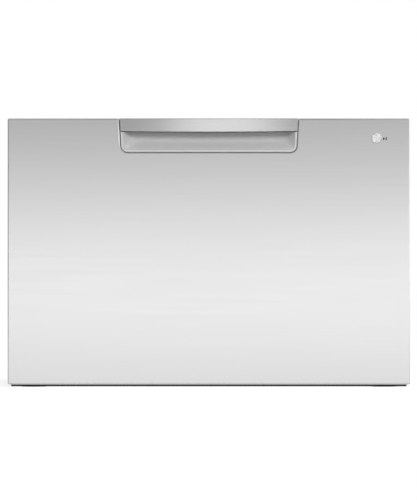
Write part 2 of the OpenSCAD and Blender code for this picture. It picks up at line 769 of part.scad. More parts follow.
// Rotor drum on the fixed shaft, with the wash pump's impeller on top
module pump_rotor() {
  drum_z = can_z + can_wall + touch_gap;
  disc_z = sump_z + 4;
  blade_top = floor_z - filter_t - 3;
  color("dimgray") translate([0, axis_y, 0]) difference() {
    union() {
      translate([0, 0, drum_z]) cylinder(h = sump_z - drum_z - 2, r = can_r - can_wall - 1);
      translate([0, 0, drum_z]) cylinder(h = blade_top - drum_z, r = shaft_r + 4);
      translate([0, 0, disc_z]) cylinder(h = 2, r = impeller_r);
      for (i = [0:blades - 1]) rotate([0, 0, 360 * i / blades]) translate([shaft_r + 2, -1, disc_z])
        cube([impeller_r - shaft_r - 4, 2, blade_top - disc_z]);
    }
    translate([0, 0, drum_z - 1]) cylinder(h = blade_top - drum_z + 2, r = shaft_r + run_gap);
  }
}

arm_z = [floor_z + 9, floor_z + 17];
arm_hub_r = tower_r + 7;
arm_top = floor_z + 20;

// Spray arm: two blades on a hub that turns on the filter plate's tower
module spray_arm() {
  hub_w = 2 * arm_hub_r * 0.8;
  tip_w = 30;
  color("lightsteelblue") translate([0, axis_y, 0]) difference() {
    union() {
      translate([0, 0, floor_z + touch_gap]) cylinder(h = arm_top - floor_z - touch_gap, r = arm_hub_r);
      for (turn = [0, 180]) rotate([0, 0, turn]) rise(arm_z, concat([[0, -hub_w / 2]],
        arc(arm_r - tip_w / 2, 0, tip_w / 2, -80, 80, 8), [[0, hub_w / 2]]));
      for (turn = [0, 180], d = [60:34:arm_r - 20]) rotate([0, 0, turn])
        translate([d, (d % 4) * 2 - 3, arm_z[1]]) cylinder(h = 2, r = 3.5);
    }
    translate([0, 0, floor_z]) cylinder(h = tower_top - floor_z + touch_gap, r = tower_r + run_gap);
  }
}

// ---------- front of the drawer ----------

recess_z = panel_top - recess_h;

// Half outline of the recess, drawn inwards by a gap, from the foot to the top edge or above it
function recess_side(gap, above = 0) = let (
    foot = recess_foot_hw - gap, top = recess_top_hw - gap, z = recess_z + gap, r = max(recess_r - gap, 1))
  concat(arc(foot - r, z + r, r, -90, 0, 6), [[top, panel_top]], above > 0 ? [[top, panel_top + above]] : []);
function recess_hw(z) = recess_foot_hw
  + (recess_top_hw - recess_foot_hw) * (z - recess_z - recess_r) / (recess_h - recess_r);
function mirrored(points) = [for (i = [len(points) - 1:-1:0]) [-points[i][0], points[i][1]]];
function recess_outline(gap, above = 0) = concat(recess_side(gap, above), mirrored(recess_side(gap, above)));

liner_y = [panel_back - liner_t, panel_back];
button_x = half_w - button_side;
button_z = panel_top - button_drop;
button_travel = 1.5;
button_stem_r = 3;
guide_wall = 3;

// Steel skin folded back at all four edges, open at the handle recess
module front_panel() {
  y = [front_y, panel_back];
  color(STEEL) difference() {
    draw_back(y, round_box([-half_w, half_w], [panel_lift, panel_top], 2));
    draw_back([front_y + skin_t, panel_back + 1],
      round_box([skin_t - half_w, half_w - skin_t], [panel_lift + skin_t, panel_top - skin_t], 1.2));
    draw_back([front_y - 1, panel_back + 1], recess_outline(0, 1));
    rod_y(button_x, [front_y - 1, front_y + skin_t + 1], button_z, button_r + button_gap);
  }
}

liner_gap = 0.1;

// Liner behind the skin, with ribs that back the skin and the start button's guide tube
module front_liner() {
  edge = skin_t + liner_gap;
  ribs_z = [panel_lift + 26, recess_z - 30];
  color("lightgray") difference() {
    union() {
      draw_back(liner_y, round_box([edge - half_w, half_w - edge], [panel_lift + edge, panel_top - edge], 1));
      for (x = [-240, -120, 0, 120, 240], side = [-1, 1])
        span([x + side * 12 - 0.6, x + side * 12 + 0.6], [front_y + skin_t, liner_y[0]], ribs_z);
      rod_y(button_x, [front_y + skin_t, liner_y[0]], button_z, button_r + guide_wall);
    }
    rod_y(button_x, [front_y, liner_y[0]], button_z, button_r + run_gap);
    rod_y(button_x, [front_y, liner_y[1] + 1], button_z, button_stem_r + 0.5);
  }
}

grip_flange_t = 2;
pocket_hw = recess_foot_hw - recess_gap - 2 * lip_w;

// Grey finger pocket: a thin lip round the recess and a scooped floor that rises behind the grip
module handle_pocket() {
  back = liner_y[0];
  front = front_y + 0.5;
  cavity = back - pocket_wall;
  scoop_r = cavity - front;
  foot_z = recess_z + recess_gap + lip_w;
  roof_z = panel_top - grip_flange_t - 0.3;
  color("darkgray") intersection() {
    draw_back([front, back], recess_outline(recess_gap));
    difference() {
      span([-half_w, half_w], [front - 1, back + 1], [recess_z - 1, roof_z]);
      draw_across([-pocket_hw, pocket_hw], concat([[front - 2, foot_z]],
        arc(front, foot_z + scoop_r, scoop_r, -90, 0, 8),
        [[cavity, roof_z - pocket_wall], [front - 2, roof_z - pocket_wall]]));
      span([-half_w, half_w], [front - 2, front_y + grip_t + touch_gap],
           [panel_top - grip_h - grip_bow - touch_gap, panel_top]);
    }
  }
}

grip_steps = 12;
curl_t = 2;
curl_d = 5;

// Brushed grip bar: a face plate with a bowed lower edge, a top flange and a curled lower edge
module handle_grip() {
  top_hw = recess_top_hw - recess_gap;
  foot_hw = recess_hw(panel_top - grip_h) - recess_gap;
  curl_hw = pocket_hw - touch_gap;
  lower_edge = function (half) [for (i = [0:grip_steps]) let (x = half * (2 * i / grip_steps - 1))
    [x, panel_top - grip_h - grip_bow * (1 - pow(x / foot_hw, 2))]];
  raised = function (edge) [for (i = [grip_steps:-1:0]) edge[i] + [0, curl_t]];
  color(STEEL) {
    draw_back([front_y, front_y + grip_t],
              concat(lower_edge(foot_hw), [[top_hw, panel_top], [-top_hw, panel_top]]));
    draw_back([front_y + grip_t, front_y + grip_t + curl_d],
              concat(lower_edge(curl_hw), raised(lower_edge(curl_hw))));
    span([-top_hw, top_hw], [front_y + grip_t, liner_y[0] - liner_gap],
         [panel_top - grip_flange_t, panel_top]);
  }
}

// Start button with the stem that presses its switch
module start_button() {
  body_y = liner_y[0] - button_travel - 2;
  color(STEEL) {
    rod_y(button_x, [front_y - button_proud, body_y], button_z, button_r);
    rod_y(button_x, [body_y, panel_back - button_travel - touch_gap], button_z, button_stem_r);
  }
}

deck_top = chassis_top - frame_top_h - 4;
deck_hw = brace_x + 14;
deck_y = [panel_back, rim_y[0] - 2];
deck_t = 2.5;
key_w = 18;
key_d = 9;
key_y = deck_y[0] + 24;
key_x = [60, 92, 124];
key_gap = 0.3;
key_travel = 1;
key_proud = 1.4;
key_flange_t = 1.5;

// Grey moulding on top of the drawer's front, with the keys' openings
module control_deck() {
  skirt_z = rim_z - rim_t;
  color(DARK_GREY) difference() {
    union() {
      span([-deck_hw, deck_hw], deck_y, [deck_top - deck_t, deck_top]);
      span([-deck_hw, deck_hw], [deck_y[0], deck_y[0] + deck_t], [skirt_z, deck_top]);
      span([-deck_hw, deck_hw], [deck_y[1] - deck_t, deck_y[1]], [skirt_z, deck_top]);
      both_sides() span([deck_hw - deck_t, deck_hw], deck_y, [skirt_z, deck_top]);
      span([-deck_hw, deck_hw], [deck_y[1] - deck_t, rim_y[0]], [skirt_z, rim_z]);
    }
    for (x = key_x) span([x - key_w / 2 - key_gap, x + key_w / 2 + key_gap],
      [key_y - key_d / 2 - key_gap, key_y + key_d / 2 + key_gap], [deck_top - deck_t - 1, deck_top + 1]);
    span([button_x - 14, button_x + 14], [deck_y[0] - 1, deck_y[0] + 12], [button_z - 14, button_z + 12]);
  }
}

// One push key with the flange that keeps it under the deck
module deck_key(i) {
  bottom = deck_top - deck_t - key_flange_t - touch_gap;
  color("gainsboro") {
    translate([key_x[i], key_y, 0]) {
      span([-key_w / 2, key_w / 2], [-key_d / 2, key_d / 2], [bottom, deck_top + key_proud]);
      span([-key_w / 2 - 1, key_w / 2 + 1], [-key_d / 2 - 1, key_d / 2 + 1], [bottom, bottom + key_flange_t]);
    }
  }
}

board_z = [dispenser_z[0] - 134, dispenser_z[0] - 24];
board_x = [-220, -40];
board_y = tub_y0 - 24;

// Control electronics: main board on its studs, the key board under the deck and the start switch
module control_board() {
  key_board_z = deck_top - deck_t - key_flange_t - touch_gap - key_travel - 3;
  color("darkgreen") {
    span(board_x, [board_y, board_y + 1.6], board_z);
    span([key_x[0] - 20, key_x[2] + 20], [deck_y[0] + deck_t, deck_y[1] - deck_t],
         [key_board_z - 1.6, key_board_z]);
  }
  color("silver") for (x = [board_x[0] + 8, board_x[1] - 8], z = [board_z[0] + 8, board_z[1] - 8])
    rod_y(x, [board_y + 1.6, tub_y0], z, 3);
  color(BLACK) {
    for (x = key_x) span([x - 3, x + 3], [key_y - 3, key_y + 3], [key_board_z, key_board_z + 2.5]);
    for (x = [board_x[0] + 30, board_x[0] + 62])
      span([x, x + 22], [board_y - 17, board_y], [board_z[1] - 44, board_z[1] - 14]);
    rod_y(board_x[0] + 130, [board_y - 20, board_y], board_z[0] + 34, 11);
    rod_y(board_x[0] + 158, [board_y - 16, board_y], board_z[0] + 34, 8);
    span([board_x[0] + 24, board_x[0] + 74], [board_y - 12, board_y], [board_z[0] + 16, board_z[0] + 40]);
    span([button_x - 11, button_x + 11], [panel_back, panel_back + 9], [button_z - 11, button_z + 9]);
  }
}

// ---------- detergent dispenser and drying fan ----------

cup_x = [dispenser_x[0] + 12, dispenser_x[0] + 76];
cup_z = [dispenser_z[0] + 14, dispenser_z[1] - 12];
cap_x = dispenser_x[1] - 26;
cap_z = (dispenser_z[0] + dispenser_z[1]) / 2;
cap_stub_r = 11;
flange_y = [tub_in_y[0], tub_in_y[0] + 2];
lid_hinge_z = cup_z[0] - 4;
lid_hinge_y = flange_y[1] + 3.2;
lid_pin_r = 1.5;

// Dispenser body let into the tub's front wall: flange, detergent cup, rinse-aid neck and hinge ears
module dispenser_body() {
  body_x = [dispenser_x[0] + dispenser_rim, dispenser_x[1] - dispenser_rim];
  body_z = [dispenser_z[0] + dispenser_rim, dispenser_z[1] - dispenser_rim];
  color("white") difference() {
    union() {
      draw_back(flange_y, round_box(dispenser_x, dispenser_z, 8));
      span(body_x, [tub_y0 - 27, flange_y[0]], body_z);
      for (x = [cup_x[0] - 5, cup_x[1] + 1])
        span([x, x + 4], [flange_y[1], lid_hinge_y + 3], [lid_hinge_z - 3, lid_hinge_z + 3]);
    }
    span(cup_x, [tub_y0 - 24, flange_y[1] + 1], cup_z);
    rod_y(cap_x, [tub_y0 - 20, flange_y[1] + 1], cap_z, cap_stub_r + run_gap);
    rod_x([cup_x[0] - 6, cup_x[1] + 6], lid_hinge_y, lid_hinge_z, lid_pin_r + run_gap);
  }
}

// Flap over the detergent cup, hinged along its lower edge
module dispenser_lid() {
  y = [flange_y[1] + touch_gap, flange_y[1] + touch_gap + 2.4];
  color("slategray") {
    span([cup_x[0] - 0.6, cup_x[1] + 0.6], y, [lid_hinge_z, cup_z[1] + 4]);
    rod_x([cup_x[0] - 5, cup_x[1] + 5], lid_hinge_y, lid_hinge_z, lid_pin_r);
    rod_x([cup_x[0] - 0.6, cup_x[1] + 0.6], lid_hinge_y, lid_hinge_z, 2.6);
  }
}

// Rinse-aid cap with its grip bar, turned a quarter to open
module rinse_aid_cap() {
  color("slategray") {
    rod_y(cap_x, [tub_y0 - 12, flange_y[1] + touch_gap], cap_z, cap_stub_r);
    rod_y(cap_x, [flange_y[1] + touch_gap, flange_y[1] + touch_gap + 3], cap_z, cap_stub_r + 5);
    span([cap_x - 12, cap_x + 12], [flange_y[1] + touch_gap + 3, flange_y[1] + touch_gap + 8],
         [cap_z - 2, cap_z + 2]);
  }
}

fan_x = 120;
fan_z = vent_z[0] - 57;
fan_r = 42;
fan_y = [tub_y0 - 44, tub_y0 - 14];
fan_shaft_r = 3;

// Fan scroll on its studs, with the outlet duct to the tub's vent and the impeller's fixed shaft
module fan_housing() {
  color("whitesmoke") {
    difference() {
      union() {
        rod_y(fan_x, fan_y, fan_z, fan_r + 8);
        span([vent_x[0] - 2, vent_x[1] + 2], [fan_y[0] + 4, fan_y[1]], [fan_z + 20, vent_z[1] + 2]);
        span([vent_x[0] - 2, vent_x[1] + 2], [fan_y[1] - 1, tub_y0], [vent_z[0] - 2, vent_z[1] + 2]);
      }
      rod_y(fan_x, [fan_y[0] - 1, fan_y[1] - 2], fan_z, fan_r + 4);
      span(vent_x, [fan_y[0] + 6, fan_y[1] - 2], [fan_z + 20, vent_z[1]]);
      span(vent_x, [fan_y[1] - 3, tub_y0 + 1], vent_z);
    }
    rod_y(fan_x, [fan_y[0], fan_y[1] - 1], fan_z, fan_shaft_r);
    for (x = [-34, 34]) rod_y(fan_x + x, [fan_y[1], tub_y0], fan_z - 24, 4);
  }
}

fan_blades = 16;

module fan_impeller() {
  y = [fan_y[0] + 3, fan_y[1] - 3];
  color("gray") translate([fan_x, 0, fan_z]) difference() {
    union() {
      rod_y(0, [y[1] - 2, y[1]], 0, fan_r - 4);
      rod_y(0, y, 0, fan_shaft_r + 4);
      for (i = [0:fan_blades - 1]) rotate([0, 360 * i / fan_blades, 0])
        span([fan_r - 14, fan_r - 4.5], [y[0], y[1]], [-0.7, 0.7]);
    }
    rod_y(0, [y[0] - 1, y[1] + 1], 0, fan_shaft_r + run_gap);
  }
}

// ---------- racks ----------

rack_hw = tub_in_hw - rack_side_gap;
rack_end_gap = 12;
rack_y = [tub_in_y[0] + rack_end_gap, tub_in_y[1] - rack_end_gap];
low_z = rack_z - 2 * wire_r - weld_gap;
rim_wire_z = rack_z + rack_h;
wire_step = 33;

// Eight-sided wires along each axis, flat sides up, so that crossing wires lie on each other
module wire(length) {
  rotate(22.5) cylinder(h = length, r = wire_r / cos(22.5), $fn = 8);
}
module wire_x(x, y, z) {
  translate([x[0], y, z]) rotate([0, 90, 0]) wire(x[1] - x[0]);
}
module wire_y(x, y, z) {
  translate([x, y[1], z]) rotate([90, 0, 0]) wire(y[1] - y[0]);
}
module wire_z(x, y, z) {
  translate([x, y, z[0]]) wire(z[1] - z[0]);
}

row_x = 96;
row_z = rack_z + wire_r + weld_gap + 6;
row_y = [rack_y[0] + 104, rack_y[1] - 8];
tine_step = 26;
clip_w = 6;
clip_half = 5;
cup_hinge_x = rack_hw - 10;
cup_hinge_z = rim_wire_z + wire_r + weld_gap + 6;
cup_y = [rack_y[0] + 30, rack_y[1] - 30];
basket_y = [rack_y[0] + 5 * wire_r + 1, rack_y[0] + 5 * wire_r + 77];
basket_hw = 112;

// Places of the wires between two edges, evenly spread
function spread(a, b, step) = let (n = max(round((b - a) / step), 1)) [for (i = [0:n]) a + (b - a) * i / n];
clip_y = [row_y[0] + tine_step / 2, (row_y[0] + row_y[1]) / 2, row_y[1] - tine_step / 2];
cup_clip_y = [cup_y[0] + 14, cup_y[1] - 14];

// A block with the eye that a hinge rod turns in
module rod_clip(x, y, z, base) {
  difference() {
    span([x - clip_half, x + clip_half], [y - clip_w / 2, y + clip_w / 2], [base, z + clip_half]);
    rod_y(x, [y - clip_w, y + clip_w], z, wire_r + run_gap);
  }
}

// Dish rack: two layers of floor wires, side wires, rims, and the clips of the parts that fold
module dish_rack() {
  x0 = rack_hw - wire_r;
  y0 = rack_y[0] + wire_r;
  y1 = rack_y[1] - wire_r;
  step_in = 2 * wire_r + weld_gap;
  side_z = [rack_z + wire_r + weld_gap, rim_wire_z - wire_r - weld_gap];
  color(RACK_GREY) {
    for (y = spread(y0, y1, wire_step)) wire_x([-x0 - wire_r, x0 + wire_r], y, rack_z);
    for (x = spread(-x0 + 24, x0 - 24, 2 * wire_step)) wire_y(x, [y0, y1], low_z);
    for (y = spread(y0, y1, wire_step), side = [-1, 1]) wire_z(side * x0, y, side_z);
    for (x = spread(-x0, x0, 1.5 * wire_step), y = [y0, y1])
      if (abs(x) < x0 - 1) wire_z(x, y, side_z);
    both_sides() wire_y(x0, [y0 - wire_r, y1 + wire_r], rim_wire_z);
    for (y = [y0, y1]) wire_x([-x0 + wire_r + weld_gap, x0 - wire_r - weld_gap], y, rim_wire_z);
    both_sides() wire_y(x0 - step_in, [y0 + wire_r, y1 - wire_r], (rack_z + rim_wire_z) / 2);
    for (y = [y0 + step_in, y1 - step_in])
      wire_x([-x0 + 2 * step_in, x0 - 2 * step_in], y, (rack_z + rim_wire_z) / 2);
  }
  color("gray") both_sides() {
    for (y = clip_y) rod_clip(row_x, y, row_z, rack_z + wire_r + weld_gap);
    for (y = cup_clip_y) {
      rod_clip(cup_hinge_x, y, cup_hinge_z, rim_wire_z - wire_r);
      span([cup_hinge_x + clip_half, rack_hw], [y - clip_w / 2, y + clip_w / 2],
           [rim_wire_z + wire_r + weld_gap, cup_hinge_z + clip_half]);
    }
  }
}

// Row of tines on a rod that folds down in its clips
module tine_row(side) {
  color(RACK_GREY) on_side(side) {
    rod_y(row_x, row_y, row_z, wire_r);
    for (y = spread(row_y[0] + 3, row_y[1] - 3, tine_step))
      wire_z(row_x, y, [row_z + wire_r + weld_gap, row_z + tine_l]);
  }
}

// Cup rack that lies level over the dishes and folds up against the tub's side
module cup_rack(side) {
  tip_x = cup_hinge_x - cup_rack_w;
  color(RACK_GREY) on_side(side) {
    rod_y(cup_hinge_x, cup_y, cup_hinge_z, wire_r);
    for (y = spread(cup_y[0] + 30, cup_y[1] - 30, wire_step))
      wire_x([tip_x + wire_r + weld_gap, cup_hinge_x - wire_r - weld_gap], y, cup_hinge_z);
    wire_y(tip_x, cup_y, cup_hinge_z);
    for (share = [0.35, 0.7])
      wire_y(cup_hinge_x - cup_rack_w * share, [cup_y[0] + 28, cup_y[1] - 28],
             cup_hinge_z + 2 * wire_r + weld_gap);
  }
}

basket_wall = 2;
basket_h = 128;

// Cutlery basket with a slotted wall between its compartments
module cutlery_basket() {
  z0 = rack_z + wire_r + weld_gap;
  cells = 4;
  cell_w = (2 * basket_hw - basket_wall) / cells;
  color("slategray") difference() {
    rise([z0, z0 + basket_h], round_box([-basket_hw, basket_hw], basket_y, 8));
    for (i = [0:cells - 1]) let (x = -basket_hw + basket_wall + i * cell_w)
      rise([z0 + basket_wall, z0 + basket_h + 1],
        round_box([x, x + cell_w - basket_wall], [basket_y[0] + basket_wall, basket_y[1] - basket_wall], 5));
    for (i = [0:cells - 1], k = [0:2]) let (x = -basket_hw + basket_wall + i * cell_w + 7 + k * 14)
      span([x, x + 8], [basket_y[0] - 1, basket_y[1] + 1], [z0 + 16, z0 + basket_h - 40]);
  }
}

// ---------- the machine ----------

base_tray();
side_panels();
top_panel();
back_panel();
front_frame();
front_gasket();
mounting_brackets();
chassis_screws();
runner_outer(-1);  // runner_outer_left
runner_outer(1);  // runner_outer_right
inlet_valve();
drain_spigot();
terminal_box();
lid_actuators();
drain_hose();
foot(-1, foot_y[0]);  // foot_front_left
foot(1, foot_y[0]);  // foot_front_right
foot(-1, foot_y[1]);  // foot_rear_left
foot(1, foot_y[1]);  // foot_rear_right
runner_middle(-1);  // runner_middle_left
runner_middle(1);  // runner_middle_right
outer_ball_cages();
inner_ball_cages();
tub_lid();
lid_seal();
lid_link(-1, rear_pivot_y, run_gap);  // lid_link_rear_left
lid_link(1, rear_pivot_y, open_pivot_gap);  // lid_link_rear_right
lid_link(-1, front_pivot_y, open_pivot_gap);  // lid_link_front_left
lid_link(1, front_pivot_y, open_pivot_gap);  // lid_link_front_right
drawer_tub();
sump_bowl();
front_panel();
front_liner();
handle_pocket();
handle_grip();
control_deck();
control_board();
runner_inner(-1);  // runner_inner_left
runner_inner(1);  // runner_inner_right
filter_plate();
heater_ring();
motor_stator();
dispenser_body();
fan_housing();
dish_rack();
cutlery_basket();
start_button();
deck_key(0);  // power_key
deck_key(1);  // program_key
deck_key(2);  // lock_key
dispenser_lid();
rinse_aid_cap();
drain_filter();
cup_rack(-1);  // cup_rack_left
cup_rack(1);  // cup_rack_right
tine_row(-1);  // tine_row_left
tine_row(1);  // tine_row_right
spray_arm();
pump_rotor();
fan_impeller();
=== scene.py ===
import json
import math

import bmesh
import bpy
from mathutils import Matrix, Vector

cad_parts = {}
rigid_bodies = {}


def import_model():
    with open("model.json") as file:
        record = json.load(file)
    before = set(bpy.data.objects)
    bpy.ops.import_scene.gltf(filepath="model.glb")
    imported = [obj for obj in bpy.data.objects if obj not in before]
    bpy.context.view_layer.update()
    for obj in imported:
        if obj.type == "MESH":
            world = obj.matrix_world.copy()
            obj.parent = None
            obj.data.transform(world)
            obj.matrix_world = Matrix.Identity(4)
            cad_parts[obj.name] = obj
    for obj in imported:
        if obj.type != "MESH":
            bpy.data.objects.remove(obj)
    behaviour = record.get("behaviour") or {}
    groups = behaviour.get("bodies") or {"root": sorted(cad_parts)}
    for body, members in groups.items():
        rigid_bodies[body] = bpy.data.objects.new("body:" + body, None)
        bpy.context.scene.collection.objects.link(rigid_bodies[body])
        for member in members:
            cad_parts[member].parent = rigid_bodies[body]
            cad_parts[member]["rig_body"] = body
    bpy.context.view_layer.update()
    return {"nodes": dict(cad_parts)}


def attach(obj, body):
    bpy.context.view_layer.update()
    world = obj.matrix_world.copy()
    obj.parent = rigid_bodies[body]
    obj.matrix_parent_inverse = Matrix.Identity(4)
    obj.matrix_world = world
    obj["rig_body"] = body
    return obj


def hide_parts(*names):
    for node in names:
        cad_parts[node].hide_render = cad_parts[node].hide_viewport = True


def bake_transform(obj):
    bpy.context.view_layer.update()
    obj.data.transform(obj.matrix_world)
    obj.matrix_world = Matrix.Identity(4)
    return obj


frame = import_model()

# Shapes are drawn in millimetres and made in metres: X right, Y back, Z up, front panel facing -Y.
MM = 0.001

# ---------- camera, light and floor ----------

FACE_Y = -286.0
VIEW_DISTANCE, PICTURE_HEIGHT = 10.0, 0.744
PICTURE_X, PICTURE_Z = -0.6, 204.2


def set_camera():
    """A long lens straight on to the front panel, as in the photograph"""
    data = bpy.data.cameras.new("camera")
    data.sensor_width = 36
    data.lens = data.sensor_width * VIEW_DISTANCE / PICTURE_HEIGHT
    data.clip_end = 100
    camera = bpy.data.objects.new("camera", data)
    camera.location = (PICTURE_X * MM, FACE_Y * MM - VIEW_DISTANCE, PICTURE_Z * MM)
    camera.rotation_euler = (math.radians(90), 0, 0)
    bpy.context.scene.collection.objects.link(camera)
    bpy.context.scene.camera = camera


def nodes_of(owner):
    """A cleared node tree with its output node"""
    owner.use_nodes = True
    tree = owner.node_tree
    tree.nodes.clear()
    kind = "ShaderNodeOutputWorld" if isinstance(owner, bpy.types.World) else "ShaderNodeOutputMaterial"
    return tree, tree.nodes.new(kind)


def join(tree, source, target):
    tree.links.new(source, target)


def seen_directly(tree):
    """1 for rays from the camera or off metal and glass, 0 for light that falls on the object"""
    path = tree.nodes.new("ShaderNodeLightPath")
    total = path.outputs["Is Camera Ray"]
    for name in ("Is Glossy Ray", "Is Transmission Ray"):
        larger = tree.nodes.new("ShaderNodeMath")
        larger.operation = "MAXIMUM"
        join(tree, total, larger.inputs[0])
        join(tree, path.outputs[name], larger.inputs[1])
        total = larger.outputs[0]
    return total


def mixed(tree, share, first, second):
    """One shader where the share is 0, the other where it is 1"""
    mix = tree.nodes.new("ShaderNodeMixShader")
    for socket, source in zip(mix.inputs, (share, first, second)):
        join(tree, source, socket)
    return mix.outputs[0]


def light_from(tree, kind, strength):
    """Output of a light-giving node of even strength"""
    light = tree.nodes.new(kind)
    light.inputs["Strength"].default_value = strength
    return light.outputs[0]


ROOM_LIGHT = 0.62


def set_world():
    """Even room light on the object; the camera and the metal see plain white"""
    world = bpy.data.worlds.new("studio")
    bpy.context.scene.world = world
    tree, out = nodes_of(world)
    lit, shown = (light_from(tree, "ShaderNodeBackground", strength) for strength in (ROOM_LIGHT, 1.0))
    for light in (lit, shown):
        light.node.inputs["Color"].default_value = (1, 1, 1, 1)
    join(tree, mixed(tree, seen_directly(tree), lit, shown), out.inputs["Surface"])


def flat_sheet(name, corners):
    """A flat sheet of the studio, in metres"""
    mesh = bpy.data.meshes.new(name)
    mesh.from_pydata(corners, [], [tuple(range(len(corners)))])
    sheet = bpy.data.objects.new(name, mesh)
    bpy.context.scene.collection.objects.link(sheet)
    return sheet


FLOOR_REACH = 30
FLOOR_GLOW, FLOOR_IN_METAL = 0.69, 0.66
FLOOR_BOUNCE, FLOOR_PAPER = 0.7, 0.5


def set_floor():
    """White floor that still takes the object's shadow; the metal sees it less bright"""
    r = FLOOR_REACH
    floor = flat_sheet("floor", [(-r, -r, 0), (r, -r, 0), (r, r, 0), (-r, r, 0)])
    material = bpy.data.materials.new("floor_white")
    tree, out = nodes_of(material)
    bounce, paper = (tree.nodes.new("ShaderNodeBsdfDiffuse") for _ in range(2))
    for cloth, level in ((bounce, FLOOR_BOUNCE), (paper, FLOOR_PAPER)):
        cloth.inputs["Color"].default_value = (level, level, level, 1)
    glow, mirrored = (light_from(tree, "ShaderNodeEmission", level) for level in (FLOOR_GLOW, FLOOR_IN_METAL))
    bright = tree.nodes.new("ShaderNodeAddShader")
    join(tree, paper.outputs[0], bright.inputs[0])
    join(tree, glow, bright.inputs[1])
    path = tree.nodes.new("ShaderNodeLightPath")
    seen = mixed(tree, path.outputs["Is Glossy Ray"], bright.outputs[0], mirrored)
    join(tree, mixed(tree, seen_directly(tree), bounce.outputs[0], seen), out.inputs["Surface"])
    floor.data.materials.append(material)


# The board in front of the machine: its distance from the panel and its X edges, in metres, then pairs of a
# height above the floor and the brightness there. Cards run back from its edges to a rear edge behind it all.
BOARD_DISTANCE, BOARD_EDGE = 1.0, (-1.0, 0.8)
BOARD_BANDS = [(0.0, 0.97), (0.1, 1.71), (0.2, 1.60), (0.3, 0.69), (0.45, 0.24), (0.6, 0.34), (0.9, 0.42),
               (1.5, 0.38), (3.0, 0.38)]
BRIGHTEST_BAND = 2
CARDS = {"left_card": 0.3, "right_card": 1.2, "top_card": 0.55}
CARD_REAR_X, CARD_REAR_Y = 1.8, 2


def studio_board(name, corners, strength):
    """A glowing board that only the metal sees"""
    board = flat_sheet(name, corners)
    for kind in ("camera", "diffuse", "transmission", "volume_scatter", "shadow"):
        setattr(board, "visible_" + kind, False)
    material = bpy.data.materials.new(name + "_light")
    tree, out = nodes_of(material)
    glow = light_from(tree, "ShaderNodeEmission", strength)
    join(tree, glow, out.inputs["Surface"])
    board.data.materials.append(material)
    return tree, glow.node


def set_reflectors():
    """Studio boards: in front, bright low down and dim above, with a bright card on the right, dark others"""
    front, top = FACE_Y * MM - BOARD_DISTANCE, BOARD_BANDS[-1][0]
    left, right = BOARD_EDGE
    low, high = ((left, front, 0), (right, front, 0)), ((left, front, top), (right, front, top))
    tree, glow = studio_board("front_board", [*low, *high[::-1]], BRIGHTEST_BAND)
    place, split, share, bands = (tree.nodes.new("ShaderNode" + kind) for kind in (
        "TexCoord", "SeparateXYZ", "MapRange", "ValToRGB"))
    share.inputs["From Max"].default_value = top
    for i, (height, level) in enumerate(BOARD_BANDS):
        stop = bands.color_ramp.elements[i] if i < 2 else bands.color_ramp.elements.new(height / top)
        stop.position = height / top
        stop.color = (*[level / BRIGHTEST_BAND] * 3, 1)
    join(tree, place.outputs["Object"], split.inputs[0])
    join(tree, split.outputs["Z"], share.inputs["Value"])
    join(tree, share.outputs[0], bands.inputs[0])
    join(tree, bands.outputs[0], glow.inputs["Color"])

    x, y = CARD_REAR_X, CARD_REAR_Y
    corners = {"left_card": [low[0], (-x, y, 0), (-x, y, top), high[0]],
               "right_card": [low[1], (x, y, 0), (x, y, top), high[1]],
               "top_card": [*high, (x, y, top), (-x, y, top)]}
    for name, level in CARDS.items():
        studio_board(name, corners[name], level)


def set_lamp(name, place, aim, size, power, matt_only=False):
    """An area lamp that the camera doesn't see, nor metal either if it is for matt surfaces only"""
    data = bpy.data.lights.new(name, "AREA")
    data.shape = "RECTANGLE"
    data.size, data.size_y = size
    data.energy = power
    lamp = bpy.data.objects.new(name, data)
    lamp.location = place
    lamp.rotation_euler = (Vector(aim) - Vector(place)).to_track_quat("-Z", "Y").to_euler()
    lamp.visible_camera = False
    lamp.visible_glossy = not matt_only
    bpy.context.scene.collection.objects.link(lamp)
    return lamp


def flag_off(lamp, piece):
    """Flags a lamp off, as a studio does, so that it falls on one piece only"""
    lit = bpy.data.collections.new(lamp.name + "_falls_on")
    lit.objects.link(piece)
    lamp.light_linking.receiver_collection = lit


set_camera()
set_world()
set_floor()
set_reflectors()
set_lamp("key", (0.8, -3.0, 1.7), (0, 0, 0.2), (1.0, 1.0), 55, matt_only=True)
bpy.context.scene.view_settings.view_transform = "Standard"

# ---------- finishes ----------


def grey(level, warm=0.0):
    """A grey by its brightness on screen, from 0 to 255, a little warm or cold"""
    share = level / 255
    linear = share / 12.92 if share <= 0.04045 else ((share + 0.055) / 1.055) ** 2.4
    return (linear * (1 + warm), linear, linear * (1 - warm))


